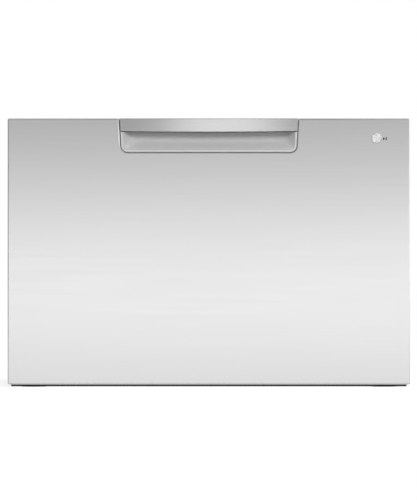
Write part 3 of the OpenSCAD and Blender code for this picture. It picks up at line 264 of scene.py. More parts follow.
def finish(name, colour, metallic=0.0, rough=0.5, grain=(1, 1, 1), spot=6.0, tint=0.05, swing=0.05,
           bump=0.1, bump_size=1.0, depth=0.05, flecks=False, turned_marks=False, **sockets):
    """One surface finish. Spot and bump_size are in millimetres, grain stretches both along an axis."""
    material = bpy.data.materials.new(name)
    tree, out = nodes_of(material)
    add = tree.nodes.new
    shader = add("ShaderNodeBsdfPrincipled")
    shader.inputs["Metallic"].default_value = metallic
    for socket, value in sockets.items():
        shader.inputs[socket.replace("_", " ").title()].default_value = value
    place, stretch = add("ShaderNodeTexCoord"), add("ShaderNodeMapping")
    stretch.inputs["Scale"].default_value = grain
    join(tree, place.outputs["Object"], stretch.inputs["Vector"])
    if flecks:
        blotch = add("ShaderNodeTexVoronoi")
        blotch.inputs["Randomness"].default_value = 1.0
        pattern = blotch.outputs["Color"]
    else:
        blotch = add("ShaderNodeTexNoise")
        blotch.inputs["Detail"].default_value = 3.0
        pattern = blotch.outputs["Fac"]
    blotch.inputs["Scale"].default_value = 1000 / spot
    join(tree, stretch.outputs[0], blotch.inputs["Vector"])
    level = add("ShaderNodeMapRange")
    level.inputs["From Min"].default_value = 0.25
    level.inputs["From Max"].default_value = 0.75
    join(tree, pattern, level.inputs["Value"])
    shade = add("ShaderNodeMix")
    shade.data_type = "RGBA"
    low = [max(c * (1 - tint), 0) for c in colour]
    high = [min(c * (1 + tint), 1) for c in colour]
    shade.inputs["A"].default_value = (*low, 1)
    shade.inputs["B"].default_value = (*high, 1)
    join(tree, level.outputs[0], shade.inputs["Factor"])
    join(tree, shade.outputs["Result"], shader.inputs["Base Color"])
    gloss = add("ShaderNodeMapRange")
    gloss.inputs["To Min"].default_value = max(rough - swing, 0.02)
    gloss.inputs["To Max"].default_value = min(rough + swing, 1)
    join(tree, level.outputs[0], gloss.inputs["Value"])
    join(tree, gloss.outputs[0], shader.inputs["Roughness"])
    fine = add("ShaderNodeTexNoise")
    fine.inputs["Scale"].default_value = 1000 / bump_size
    fine.inputs["Detail"].default_value = 2.0
    join(tree, stretch.outputs[0], fine.inputs["Vector"])
    relief = add("ShaderNodeBump")
    relief.inputs["Strength"].default_value = bump
    relief.inputs["Distance"].default_value = depth * MM
    join(tree, fine.outputs["Fac"], relief.inputs["Height"])
    join(tree, relief.outputs[0], shader.inputs["Normal"])
    if turned_marks:
        around = add("ShaderNodeTangent")
        around.direction_type, around.uv_map = "UV_MAP", "turned"
        join(tree, around.outputs[0], shader.inputs["Tangent"])
    join(tree, shader.outputs[0], out.inputs["Surface"])
    return material


ALONG_X, ALONG_Y, WOUND_ROUND_Z = (0.02, 1, 1), (1, 0.02, 1), (1, 1, 8)
FINISHES = {
    "brushed_steel_front": finish("brushed_steel", (0.80, 0.80, 0.798), 1, 0.33, ALONG_X, 3, 0.012, 0.02,
                                  0.05, 0.5, 0.01),
    "brushed_grip": finish("brushed_grip", (0.54, 0.54, 0.54), 1, 0.27, ALONG_X, 0.8, 0.03, 0.0,
                           0.0, 0.5, 0.02, anisotropic=0.9, anisotropic_rotation=0.25),
    "spun_button": finish("spun_metal", (0.92, 0.92, 0.92), 1, 0.40, spot=2, tint=0.02, bump=0.02,
                          turned_marks=True, anisotropic=0.6),
    "pocket_grey": finish("painted_pocket", grey(190), 0, 0.42, spot=9, tint=0.02, bump=0.15, bump_size=0.8,
                          depth=0.02),
    "galvanised_sheet": finish("galvanised_sheet", (0.62, 0.63, 0.64), 1, 0.42, spot=7, tint=0.035,
                               swing=0.04, bump=0.06, flecks=True),
    "runner_steel": finish("zinc_plated_steel", (0.66, 0.67, 0.69), 1, 0.30, ALONG_Y, 5, 0.05, 0.05,
                           0.08, 0.8),
    "screw_steel": finish("polished_steel", (0.70, 0.70, 0.70), 1, 0.18, spot=4, tint=0.04, bump=0.03),
    "frame_black": finish("black_plastic", grey(26), 0, 0.48, spot=12, tint=0.12, bump=0.25, bump_size=0.7),
    "gasket_rubber": finish("black_rubber", grey(26), 0, 0.72, spot=10, tint=0.15, bump=0.3, bump_size=1.2),
    "foot_black": finish("foot_plastic", grey(38), 0, 0.6, spot=8, tint=0.12, bump=0.3, bump_size=0.9),
    "tub_moulding": finish("tub_plastic", grey(226, 0.01), 0, 0.34, spot=30, tint=0.015, bump=0.05,
                           bump_size=1.5, depth=0.02),
    "lid_grey": finish("lid_plastic", grey(120), 0, 0.5, spot=18, tint=0.05, bump=0.3, bump_size=0.9),
    "liner_grey": finish("liner_plastic", grey(196), 0, 0.5, spot=18, tint=0.03, bump=0.25, bump_size=1.0),
    "deck_grey": finish("deck_plastic", grey(92), 0, 0.45, spot=14, tint=0.06, bump=0.25, bump_size=0.6),
    "key_grey": finish("key_plastic", grey(208), 0, 0.34, spot=6, tint=0.02, bump=0.1, bump_size=0.5),
    "board_green": finish("circuit_board", (0.02, 0.16, 0.06), 0, 0.4, spot=5, tint=0.25, bump=0.4,
                          bump_size=2),
    "filter_steel": finish("etched_steel", (0.70, 0.70, 0.69), 1, 0.34, spot=3, tint=0.06, bump=0.3,
                           bump_size=0.9),
    "heater_steel": finish("heater_tube", (0.52, 0.50, 0.47), 1, 0.32, spot=9, tint=0.14, bump=0.1),
    "copper_winding": finish("enamelled_copper", (0.60, 0.24, 0.10), 1, 0.35, WOUND_ROUND_Z, 2, 0.15, 0.06,
                             0.6, 1.2),
    "dispenser_grey": finish("dispenser_plastic", grey(218), 0, 0.36, spot=14, tint=0.02, bump=0.1),
    "blue_grey": finish("blue_grey_plastic", (0.13, 0.19, 0.26), 0, 0.40, spot=9, tint=0.08, bump=0.2,
                        bump_size=0.8),
    "rack_coating": finish("nylon_coating", (0.24, 0.27, 0.31), 0, 0.34, spot=5, tint=0.07, bump=0.25,
                           bump_size=1.2),
    "rotor_black": finish("rotor_plastic", grey(48), 0, 0.42, spot=6, tint=0.1, bump=0.15),
    "hose_grey": finish("hose_plastic", grey(150), 0, 0.5, spot=7, tint=0.05, bump=0.2),
    "valve_white": finish("valve_plastic", grey(222, 0.02), 0, 0.42, spot=8, tint=0.03, bump=0.15),
}
PRINT_INK = finish("printing_ink", (0.02, 0.018, 0.017), 0, 0.6, spot=1, tint=0.08, bump=0.05)
LAMP_CLEAR = finish("clear_lens", (0.86, 0.90, 0.88), 0, 0.12, spot=3, tint=0.02, bump=0.02)

# ---------- drawing helpers ----------


def evenly(start, end, spaces):
    return [start + (end - start) * i / spaces for i in range(spaces + 1)]


def arc(cx, cy, r, a0, a1, steps=6):
    """Points of an arc from angle a0 to a1"""
    turns = [math.radians(a0 + (a1 - a0) * i / steps) for i in range(steps + 1)]
    return [(cx + r * math.cos(a), cy + r * math.sin(a)) for a in turns]


def circle(r, sides, middle=(0, 0)):
    """Closed outline of a full circle"""
    return arc(*middle, r, 0, 360 - 360 / sides, sides - 1)


def round_box(x, y, r, steps=6):
    """Outline of a rectangle with round corners"""
    return (arc(x[1] - r, y[1] - r, r, 0, 90, steps) + arc(x[0] + r, y[1] - r, r, 90, 180, steps)
            + arc(x[0] + r, y[0] + r, r, 180, 270, steps) + arc(x[1] - r, y[0] + r, r, 270, 360, steps))


def inset(points, depth):
    """A closed outline drawn inwards by a depth, corner by corner"""
    moved = []
    for i, point in enumerate(points):
        here = Vector(point)
        before = (here - Vector(points[i - 1])).normalized()
        after = (Vector(points[(i + 1) % len(points)]) - here).normalized()
        a, b = Vector((-before.y, before.x)), Vector((-after.y, after.x))
        moved.append(here + (a + b) / max(1 + a.dot(b), 0.3) * depth)
    return [(p.x, p.y) for p in moved]


def fold(r, steps=5):
    """(inset, depth) pairs of a rounded fold from the face to the side"""
    return [(r - y, x) for x, y in [(r - c, s) for c, s in arc(0, 0, r, 0, 90, steps)]]


def loft(shape, rings, closed=True, caps=(False, False)):
    """Skin over rings of points; each ring has as many points as the next"""
    rows = [[shape.verts.new(p) for p in ring] for ring in rings]
    for a, b in zip(rows, rows[1:]):
        for i in range(len(a) if closed else len(a) - 1):
            j = (i + 1) % len(a)
            shape.faces.new((a[i], a[j], b[j], b[i]))
    if caps[0]:
        shape.faces.new(rows[0][::-1])
    if caps[1]:
        shape.faces.new(rows[-1])
    return rows


def fill(shape, *loops):
    """Closes the flat area between an outer loop of vertices and the loops of its holes"""
    pairs = [pair for loop in loops for pair in zip(loop, loop[1:] + loop[:1])]
    rims = [shape.edges.get(pair) or shape.edges.new(pair) for pair in pairs]
    bmesh.ops.triangle_fill(shape, use_beauty=True, use_dissolve=False, edges=rims)


def rounded_block(shape, x, y, z, r=1.0, steps=3):
    """A box with rounded upright edges and softened top and bottom edges"""
    r = min(r, (x[1] - x[0]) / 2.1, (y[1] - y[0]) / 2.1)
    soft = min(r, (z[1] - z[0]) / 2.1) * 0.6
    outline = round_box(x, y, r, steps)
    profile = [(soft, z[0]), (soft * 0.3, z[0] + soft * 0.3), (0, z[0] + soft),
               (0, z[1] - soft), (soft * 0.3, z[1] - soft * 0.3), (soft, z[1])]
    loft(shape, [[(px, py, h) for px, py in inset(outline, d)] for d, h in profile], caps=(True, True))


def turned(shape, profile, centre, axis="Z", sides=48):
    """A profile of (radius, height) pairs turned round an axis; it closes where the radius is nought"""
    rings = []
    for radius, height in profile:
        ring = []
        for i in range(sides):
            a = 2 * math.pi * i / sides
            c, s = max(radius, 1e-4) * math.cos(a), max(radius, 1e-4) * math.sin(a)
            ring.append({"Z": (c, s, height), "Y": (c, height, s), "X": (height, c, s)}[axis])
        rings.append([tuple(p + q for p, q in zip(point, centre)) for point in ring])
    loft(shape, rings, caps=(True, True))


def body_of(node):
    return frame["nodes"][node]["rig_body"]


def in_metres(shape, whole=False):
    """Joins a millimetre shape's doubled points, turns its faces outwards and scales it; a whole piece also
    loses its faces without area"""
    bmesh.ops.remove_doubles(shape, verts=shape.verts, dist=2e-4)
    if whole:
        bmesh.ops.dissolve_degenerate(shape, edges=shape.edges, dist=1e-5)
    bmesh.ops.recalc_face_normals(shape, faces=shape.faces)
    bmesh.ops.scale(shape, vec=(MM, MM, MM), verts=shape.verts)
    return shape


def mesh_of(shape, name):
    """The shape as a mesh; the shape itself is used up"""
    mesh = bpy.data.meshes.new(name)
    shape.to_mesh(mesh)
    shape.free()
    return mesh


def evaluated_mesh(host):
    """A plain mesh of an object as its modifiers make it"""
    bpy.context.view_layer.update()
    return bpy.data.meshes.new_from_object(host.evaluated_get(bpy.context.evaluated_depsgraph_get()))


def smooth_but(mesh, crease):
    """Smooth shading, but sharp at edges over the crease angle"""
    mesh.shade_smooth()
    mesh.set_sharp_from_angle(angle=math.radians(crease))


def linked(name, mesh, body, slot_name, stands_for, material=None):
    """A mesh as a piece that rides on its body, in its finish"""
    piece = bpy.data.objects.new(name, mesh)
    bpy.context.scene.collection.objects.link(piece)
    mesh.materials.clear()
    mesh.materials.append(material or FINISHES[slot_name])
    if body:
        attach(piece, body)
    if stands_for:
        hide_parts(*stands_for)
    return piece


def put(name, shape, body, slot_name, stands_for=(), crease=32, material=None):
    """Turns a shape drawn in millimetres into a finished piece on its body"""
    mesh = mesh_of(in_metres(shape, whole=True), name)
    smooth_but(mesh, crease)
    return linked(name, mesh, body, slot_name, stands_for, material)


def dress(node, slot_name, edge=0.3, crease=32):
    """A node's own shape with its edges softened by a bevel"""
    shape = bmesh.new()
    shape.from_mesh(frame["nodes"][node].data)
    bmesh.ops.remove_doubles(shape, verts=shape.verts, dist=1e-6)
    bmesh.ops.dissolve_limit(shape, angle_limit=math.radians(0.5), verts=shape.verts, edges=shape.edges)
    mesh = mesh_of(shape, node + "_part")
    for name in ("custom_normal", "sharp_face", "sharp_edge"):
        if name in mesh.attributes:
            mesh.attributes.remove(mesh.attributes[name])
    smooth_but(mesh, crease)
    piece = linked(node + "_part", mesh, body_of(node), slot_name, (node,))
    if edge:
        soften = piece.modifiers.new("softened_edges", "BEVEL")
        soften.width = edge * MM
        soften.segments = 2
        soften.limit_method = "ANGLE"
        soften.angle_limit = math.radians(crease)
        soften.use_clamp_overlap = True
        soften.harden_normals = True
    return piece


def cut_by(piece, *cutters):
    """Cuts shapes drawn in millimetres out of a piece"""
    for cutter in cutters:
        tool = bpy.data.objects.new("cutter", mesh_of(in_metres(cutter), "cutter"))
        bpy.context.scene.collection.objects.link(tool)
        cut = piece.modifiers.new("cut", "BOOLEAN")
        cut.object, cut.solver, cut.operation = tool, "EXACT", "DIFFERENCE"
        done = evaluated_mesh(piece)
        piece.modifiers.remove(cut)
        bpy.data.objects.remove(tool)
        old, name = piece.data, piece.data.name
        piece.data = done
        bpy.data.meshes.remove(old)
        done.name = name
        done.set_sharp_from_angle(angle=math.radians(34))


# ---------- front of the drawer ----------

PANEL_HALF, PANEL_Z, PANEL_T = 299.5, (4.0, 400.0), 22.0
PANEL_BACK = FACE_Y + PANEL_T
SKIN_T, SKIN_FOLD = 0.9, 2.0
CORNER_R, RECESS_CORNER_R = 2.6, 1.2
RECESS_TOP, RECESS_FOOT, RECESS_Z, RECESS_R = 133.5, 131.3, 349.2, 10.5
RECESS_GAP = 0.6
BUTTON_X, BUTTON_Z, BUTTON_R, BUTTON_GAP = 249.4, 370.4, 6.85, 0.35
MARK_X, MARK_Z, MARK_H = 259.1, 369.9, 4.7
GRIP_HALF, GRIP_H, GRIP_BOW, GRIP_T, GRIP_STEPS = 131.3, 18.9, 1.3, 2.5, 40
POCKET_BACK = PANEL_BACK - 1.5


def recess_edge(z):
    """Half width of the handle recess at a height"""
    share = (z - RECESS_Z - RECESS_R) / (PANEL_Z[1] - RECESS_Z - RECESS_R)
    return RECESS_FOOT + (RECESS_TOP - RECESS_FOOT) * share


def fold_share(x, z):
    """How wide the sheet's fold is at a point of the outline, as a share of its common radius: tighter along
    the panel's top, tighter still round the recess, and widest on the recess's left side"""
    if abs(x) > RECESS_TOP + 4:
        return 0.85 if z > PANEL_Z[1] - 1 else 1.0
    if z < RECESS_Z - 1:
        return 1.0
    if x > 0 or z > PANEL_Z[1] - 1:
        return 0.75
    rise = min(max((z - RECESS_Z) / RECESS_R, 0), 1) * min(max((PANEL_Z[1] - z) / 4, 0), 1)
    return 0.75 + 0.75 * rise


def panel_outline():
    """Outline of the front panel with the handle recess in its top edge"""
    half, (foot, top), r, corner = PANEL_HALF, PANEL_Z, CORNER_R, RECESS_CORNER_R
    low_x, low_z = RECESS_FOOT - RECESS_R, RECESS_Z + RECESS_R
    return (arc(-half + r, foot + r, r, 180, 270) + arc(half - r, foot + r, r, 270, 360)
            + arc(half - r, top - r, r, 0, 90)
            + arc(RECESS_TOP + corner, top - corner, corner, 90, 180, 3)
            + arc(low_x, low_z, RECESS_R, 0, -90, 12) + arc(-low_x, low_z, RECESS_R, -90, -180, 12)
            + arc(-RECESS_TOP - corner, top - corner, corner, 0, 90, 3)
            + arc(-half + r, top - r, r, 90, 180))


def front_skin():
    """Steel sheet folded back all round, with the recess and the button's hole"""
    shape = bmesh.new()
    outline = panel_outline()
    r, t, rear = SKIN_FOLD, SKIN_T, PANEL_T
    profile = [(r + 0.4, 0)] + fold(r, 7) + [(0, r + 0.4), (0, rear - 0.5), (0.12, rear - 0.12), (0.45, rear)]
    profile += [(0.75, rear), (t, rear - 0.2), (t, t + 0.6), (t + 0.3, t + 0.1), (t + 0.6, t)]
    wide = [fold_share(x, z) for x, z in outline]
    rings = []
    for d, y in profile:
        folded = y < r + 0.5
        shares = wide if folded else [1.0] * len(wide)
        drawn = {share: inset(outline, d * share) for share in set(shares)}
        corners = [(*drawn[share][i], y * share) for i, share in enumerate(shares)]
        rings.append([(x, FACE_Y + depth, z) for x, z, depth in corners])
    rows = loft(shape, rings)
    hole_r = BUTTON_R + BUTTON_GAP
    hole = [(hole_r + 0.5, 0), (hole_r + 0.2, 0), (hole_r + 0.06, 0.06), (hole_r, 0.2), (hole_r, SKIN_T)]
    circles = [[(BUTTON_X + x, FACE_Y + y, BUTTON_Z + z) for x, z in circle(radius, 48)]
               for radius, y in hole]
    rim = loft(shape, circles)
    fill(shape, rows[0], rim[0])
    fill(shape, rows[-1], rim[-1])
    put("front_skin", shape, "drawer", "brushed_steel_front", ["front_panel"])


def grip_edge(x):
    """Height of the grip bar's bowed lower edge"""
    return PANEL_Z[1] - GRIP_H - GRIP_BOW * (1 - (x / GRIP_HALF) ** 2)


def grip_section(x):
    """Section (Y, Z) of the grip bar's plate: from its back along the top, over the fold and down"""
    front, back, top, low = FACE_Y, POCKET_BACK - 0.1, PANEL_Z[1], grip_edge(x)
    r_top, r_low = 0.9, 1.1
    return ([(back, top), (front + r_top, top)]
            + [(front + r_top - c, top - r_top + s) for c, s in arc(0, 0, r_top, 75, 15, 4)]
            + [(front, z) for z in (top - r_top, top - r_top - 0.4, low + r_low + 0.4, low + r_low)]
            + [(front + r_low - c, low + r_low - s) for c, s in arc(0, 0, r_low, 15, 75, 4)]
            + [(front + r_low, low), (front + GRIP_T, low), (front + GRIP_T, top - 3), (front + 3.5, top - 2),
               (back, top - 2)])


def grip_bar():
    """Plate with a bowed lower edge, folded back along the top, with a curled lip below"""
    shape = bmesh.new()
    half, flare = 131.65, 1.2
    rings = []
    for share in evenly(-1, 1, GRIP_STEPS):
        section = grip_section(share * GRIP_HALF)
        rings.append([(share * (half + flare * (z - PANEL_Z[1] + GRIP_H) / GRIP_H), y, z)
                      for y, z in section])
    # each end has a tip drawn in by the edge's rounding
    tips = []
    for end, side in ((rings[0], -1), (rings[-1], 1)):
        drawn_in = inset([(y, z) for _, y, z in end], 0.25)
        tips.append([(x, y, z) for (x, _, _), (y, z) in zip(end, drawn_in)])
        end[:] = [(x - side * 0.3, y, z) for x, y, z in end]
    loft(shape, [tips[0]] + rings + [tips[1]], caps=(True, True))

    lip_half, lip_t, lip_d = 123.4, 2.0, 5.0
    y0, y1 = FACE_Y + 1.5, FACE_Y + GRIP_T + lip_d
    lips = []
    for share in evenly(-1, 1, GRIP_STEPS):
        x = lip_half * share
        low, top = grip_edge(x), grip_edge(x) + lip_t
        lips.append([(x, y0, low + 0.05), (x, y0, top), (x, y1 - 0.7, top), (x, y1, top - 0.7),
                     (x, y1, low + 0.75), (x, y1 - 0.7, low + 0.05)])
    loft(shape, lips, caps=(True, True))
    return put("grip_bar", shape, "drawer", "brushed_grip", ["handle_grip"])


def grip_holder():
    """Painted shade: a black strip under the grip bar's curled edge, standing in for the shadow gap there,
    seen as a fine dark line under the grip
    """
    shape = bmesh.new()
    half, y = 130.6, (FACE_Y + 1.7, FACE_Y + 4.5)
    rings = []
    for x in evenly(-half, half, GRIP_STEPS):
        low, high = grip_edge(x) - 0.75, grip_edge(x) + 0.4
        rings.append([(x, y[0], low), (x, y[0], high), (x, y[1], high), (x, y[1], low)])
    loft(shape, rings, caps=(True, True))
    put("grip_holder", shape, "drawer", "frame_black", (), 30)


def pocket_ring(inward, y, r):
    """U-shaped outline of the pocket at one depth, so far in from the recess's edge"""
    top = PANEL_Z[1] - RECESS_GAP
    half, low = RECESS_FOOT - inward, RECESS_Z + inward
    left = arc(-half + r, low + r, r, 180, 270, 10)
    rise = [(-(recess_edge(z) - inward), z) for z in evenly(top, low + r, 6)[:6]]
    bottom = [(x, low) for x in evenly(r - half, half - r, 12)[1:12]]
    outline = rise + left + bottom + [(-x, z) for x, z in (rise + left)[::-1]]
    return [(x, y, z) for x, z in outline]


def finger_pocket():
    """Grey moulding: a thin raised lip and a scooped bowl whose floor and sides curve in to its back"""
    shape = bmesh.new()
    front, cavity = FACE_Y + 0.5, POCKET_BACK - 2
    outer_r, edge_r, lip, scoop = RECESS_R - RECESS_GAP, 0.75, 3.3, 17.5
    rings = [pocket_ring(RECESS_GAP, POCKET_BACK, outer_r)]
    rings += [pocket_ring(RECESS_GAP + d, front + y, outer_r - d) for d, y in fold(edge_r, 4)[::-1]]
    rings += [pocket_ring(lip + d, front + y, outer_r - lip - d + RECESS_GAP)
              for d, y in ((0, 0), (0.35, 0.08), (0.62, 0.35), (edge_r, edge_r))]
    depth = cavity - front - edge_r
    for t in evenly(0, 1, 12)[1:]:
        sag = 3 * t * t * (1 - t) + t ** 3
        inward = scoop * (3 * 0.38 * t * (1 - t) ** 2 + 3 * 0.56 * t * t * (1 - t) + t ** 3)
        back = depth * (3 * 0.52 * t * (1 - t) ** 2 + sag)
        rings.append(pocket_ring(lip + edge_r + inward, front + edge_r + back, 6.2 + 6 * t))
    rows = loft(shape, rings, closed=False)
    shape.faces.new(rows[0][::-1])
    shape.faces.new(rows[-1])
    shape.faces.new([row[0] for row in rows] + [row[-1] for row in rows[::-1]])
    piece = put("finger_pocket", shape, "drawer", "pocket_grey", ["handle_pocket"], 40)
    # the grip bar's plate stands in front of the pocket's upper part
    notch = bmesh.new()
    rounded_block(notch, (-140, 140), (FACE_Y - 6, FACE_Y + GRIP_T + 0.3), (379.8, 402), 0.01)
    cut_by(piece, notch)


def start_button():
    """Round button with a dished face turned in fine grooves, and a rounded rim"""
    shape = bmesh.new()
    face, shoulder, rear, groove = FACE_Y - 1.0, FACE_Y + 17.0, PANEL_BACK - 1.8, 0.29
    profile = [(0, face + 0.12)]
    profile += [(k * groove, face + 0.12 - (0.012 if k % 2 else 0)) for k in range(1, 20)]
    profile += [(5.75, face + 0.03), (5.95, face), (6.55, face), (6.74, face + 0.06), (BUTTON_R, face + 0.17),
                (BUTTON_R, face + 0.35), (BUTTON_R, shoulder), (3.0, shoulder), (3.0, rear), (0, rear)]
    turned(shape, profile, (BUTTON_X, 0, BUTTON_Z), "Y", 64)
    # the map's second axis runs round the button, as the turning marks do
    layer = shape.loops.layers.uv.new("turned")
    for part in shape.faces:
        middle = part.calc_center_median()
        base = math.atan2(middle.z - BUTTON_Z, middle.x - BUTTON_X)
        for corner in part.loops:
            x, z = corner.vert.co.x - BUTTON_X, corner.vert.co.z - BUTTON_Z
            turn = (math.atan2(z, x) - base + math.pi) % (2 * math.pi) - math.pi
            corner[layer].uv = (math.hypot(x, z) / 10, (base + turn) / 6)
    return put("start_button_face", shape, "start", "spun_button", ["start_button"], 60)


def start_mark():
    """Printed play and pause mark beside the button"""
    shape = bmesh.new()
    low, high = MARK_Z - MARK_H / 2, MARK_Z + MARK_H / 2
    outlines = [[(MARK_X, low), (MARK_X + 3.1, MARK_Z), (MARK_X, high)]]
    for left, right in ((MARK_X + 3.7, MARK_X + 4.6), (MARK_X + 5.1, MARK_X + 6.0)):
        outlines.append([(left, low), (right, low), (right, high), (left, high)])
    for outline in outlines:
        loft(shape, [[(x, y, z) for x, z in outline] for y in (FACE_Y - 0.06, FACE_Y + 0.02)],
             caps=(True, True))
    put("start_mark", shape, "drawer", "frame_black", (), 20, PRINT_INK)


front_skin()
grip = grip_bar()
# painted shade: a black strip under the grip bar that stands in for the shadow gap below it
grip_holder()
finger_pocket()
button = start_button()
start_mark()
flag_off(set_lamp("grip_glow", (0.025, -1.2, 0.42), (0.025, -0.29, 0.42), (0.17, 0.6), 0.34), grip)
BUTTON_LAMPS = {"right_glint": ((1.3, -1.3, 1.4), 0.35, 14), "left_glint": ((-0.8, -1.3, 1.4), 0.35, 11),
                "button_fill": ((0.25, -1.8, 0.45), 0.9, 2)}
for name, (place, size, power) in BUTTON_LAMPS.items():
    flag_off(set_lamp(name, place, (0.25, -0.29, 0.37), (size, size), power), button)

# ---------- repeated and swept shapes ----------


def growing_tree(name, sizes):
    """A geometry tree with named inputs; returns the tree, its input node and a maker of nodes"""
    tree = bpy.data.node_groups.new(name, "GeometryNodeTree")
    tree.interface.new_socket("Geometry", in_out="INPUT", socket_type="NodeSocketGeometry")
    for label, kind in sizes.items():
        tree.interface.new_socket(label, in_out="INPUT", socket_type="NodeSocket" + kind)
    tree.interface.new_socket("Finish", in_out="INPUT", socket_type="NodeSocketMaterial")
    tree.interface.new_socket("Geometry", in_out="OUTPUT", socket_type="NodeSocketGeometry")
    return tree, tree.nodes.new("NodeGroupInput")


def end_tree(tree, given, shape):
    """Every tree ends in real geometry with its finish on"""
    real, coat, out = (tree.nodes.new(kind) for kind in (
        "GeometryNodeRealizeInstances", "GeometryNodeSetMaterial", "NodeGroupOutput"))
    join(tree, shape, real.inputs[0])
    join(tree, real.outputs[0], coat.inputs["Geometry"])
    join(tree, given.outputs["Finish"], coat.inputs["Material"])
    join(tree, coat.outputs[0], out.inputs[0])
    return tree


def wire_tree():
    """Wires of round section along drawn lines, with bent corners"""
    tree, given = growing_tree("bent_wires", {"Wire radius": "Float", "Bend radius": "Float", "Sides": "Int"})
    line, bend, section, sweep = (tree.nodes.new("GeometryNode" + kind) for kind in (
        "MeshToCurve", "FilletCurve", "CurvePrimitiveCircle", "CurveToMesh"))
    bend.mode = "POLY"
    bend.inputs["Count"].default_value = 5
    bend.inputs["Limit Radius"].default_value = True
    sweep.inputs["Fill Caps"].default_value = True
    join(tree, given.outputs["Geometry"], line.inputs[0])
    join(tree, line.outputs[0], bend.inputs["Curve"])
    join(tree, given.outputs["Bend radius"], bend.inputs["Radius"])
    join(tree, given.outputs["Sides"], section.inputs["Resolution"])
    join(tree, given.outputs["Wire radius"], section.inputs["Radius"])
    join(tree, bend.outputs[0], sweep.inputs["Curve"])
    join(tree, section.outputs[0], sweep.inputs["Profile Curve"])
    return end_tree(tree, given, sweep.outputs[0])


def row_tree():
    """The same shape again and again at even steps"""
    tree, given = growing_tree("even_row", {"Count": "Int", "Step": "Vector"})
    line, copies = tree.nodes.new("GeometryNodeMeshLine"), tree.nodes.new("GeometryNodeInstanceOnPoints")
    line.mode = "OFFSET"
    join(tree, given.outputs["Count"], line.inputs["Count"])
    join(tree, given.outputs["Step"], line.inputs["Offset"])
    join(tree, line.outputs[0], copies.inputs["Points"])
    join(tree, given.outputs["Geometry"], copies.inputs["Instance"])
    return end_tree(tree, given, copies.outputs[0])


def copies_tree():
    """The same shape set on points, its top turned the way that each point faces"""
    tree, given = growing_tree("set_on_points", {"Pattern": "Object"})
    pattern, facing, turn, copies = (tree.nodes.new(kind) for kind in (
        "GeometryNodeObjectInfo", "GeometryNodeInputNamedAttribute", "FunctionNodeAlignRotationToVector",
        "GeometryNodeInstanceOnPoints"))
    facing.data_type = "FLOAT_VECTOR"
    facing.inputs["Name"].default_value = "facing"
    join(tree, given.outputs["Pattern"], pattern.inputs["Object"])
    join(tree, facing.outputs["Attribute"], turn.inputs["Vector"])
    join(tree, given.outputs["Geometry"], copies.inputs["Points"])
    join(tree, pattern.outputs["Geometry"], copies.inputs["Instance"])
    join(tree, turn.outputs[0], copies.inputs["Rotation"])
    return end_tree(tree, given, copies.outputs[0])


WIRES, ROW, COPIES = wire_tree(), row_tree(), copies_tree()


def grown(tree, mesh, slot_name, **sizes):
    """Runs a tree on a mesh and returns the result as a plain shape in metres"""
    host = bpy.data.objects.new("host", mesh)
    bpy.context.scene.collection.objects.link(host)
    growth = host.modifiers.new("growth", "NODES")
    growth.node_group = tree
    values = {label.replace("_", " ").capitalize(): value for label, value in sizes.items()}
    values["Finish"] = FINISHES[slot_name]
    for socket in tree.interface.items_tree:
        if socket.in_out == "INPUT" and socket.name in values:
            growth[socket.identifier] = values[socket.name]
    done = evaluated_mesh(host)
    bpy.data.objects.remove(host)
    bpy.data.meshes.remove(mesh)
    shape = bmesh.new()
    shape.from_mesh(done)
    bpy.data.meshes.remove(done)
    return shape


def merged(*shapes):
    """Several shapes in metres as one in millimetres"""
    whole = bmesh.new()
    for shape in shapes:
        mesh = mesh_of(shape, "shape")
        whole.from_mesh(mesh)
        bpy.data.meshes.remove(mesh)
    bmesh.ops.scale(whole, vec=(1 / MM,) * 3, verts=whole.verts)
    return whole


def wires(lines, radius, bend=8.0, sides=14):
    """Bent wires from lists of corner points; a line that ends where it starts is a closed loop"""
    points, edges = [], []
    for line in lines:
        first, ring = len(points), line[0] == line[-1]
        points += [tuple(c * MM for c in p) for p in (line[:-1] if ring else line)]
        count = len(points) - first
        edges += [(first + i, first + (i + 1) % count) for i in range(count if ring else count - 1)]
    mesh = bpy.data.meshes.new("lines")
    mesh.from_pydata(points, edges, [])
    return grown(WIRES, mesh, "rack_coating", wire_radius=radius * MM, bend_radius=bend * MM, sides=sides)


def row_of(shape, count, step):
    """A millimetre shape of the racks repeated at even steps"""
    mesh = mesh_of(in_metres(shape), "shape")
    return grown(ROW, mesh, "rack_coating", count=count, step=tuple(c * MM for c in step))


UP, BACK = (0, 0, 1), (0, 1, 0)


def set_on(shape, places, slot_name):
    """A millimetre shape set on places, each a point and the direction that the shape's top faces there"""
    points = bpy.data.meshes.new("places")
    points.from_pydata([tuple(c * MM for c in point) for point, _ in places], [], [])
    facing = points.attributes.new("facing", "FLOAT_VECTOR", "POINT")
    facing.data.foreach_set("vector", [c for _, way in places for c in way])
    pattern = bpy.data.objects.new("pattern", mesh_of(in_metres(shape), "shape"))
    bpy.context.scene.collection.objects.link(pattern)
    copies = grown(COPIES, points, slot_name, pattern=pattern)
    bpy.data.meshes.remove(pattern.data)
    return merged(copies)


# ---------- racks ----------

WIRE_R, RACK_X, RACK_Y, RACK_Z, RIM_Z = 2.0, 255.0, (-190.0, 219.0), 100.0, 200.0
WIRE_STEP = 2 * WIRE_R + 0.02
ROW_X, ROW_Z, ROW_Y, TINES = 96.0, 108.02, (-88.0, 213.0), 12
CUP_HINGE_X, CUP_TIP_X, CUP_Z, CUP_Y = 247.0, 149.0, 208.02, (-160.0, 189.0)
CUP_CLIP_Y, CUP_CLIP_STEP = -148, 325


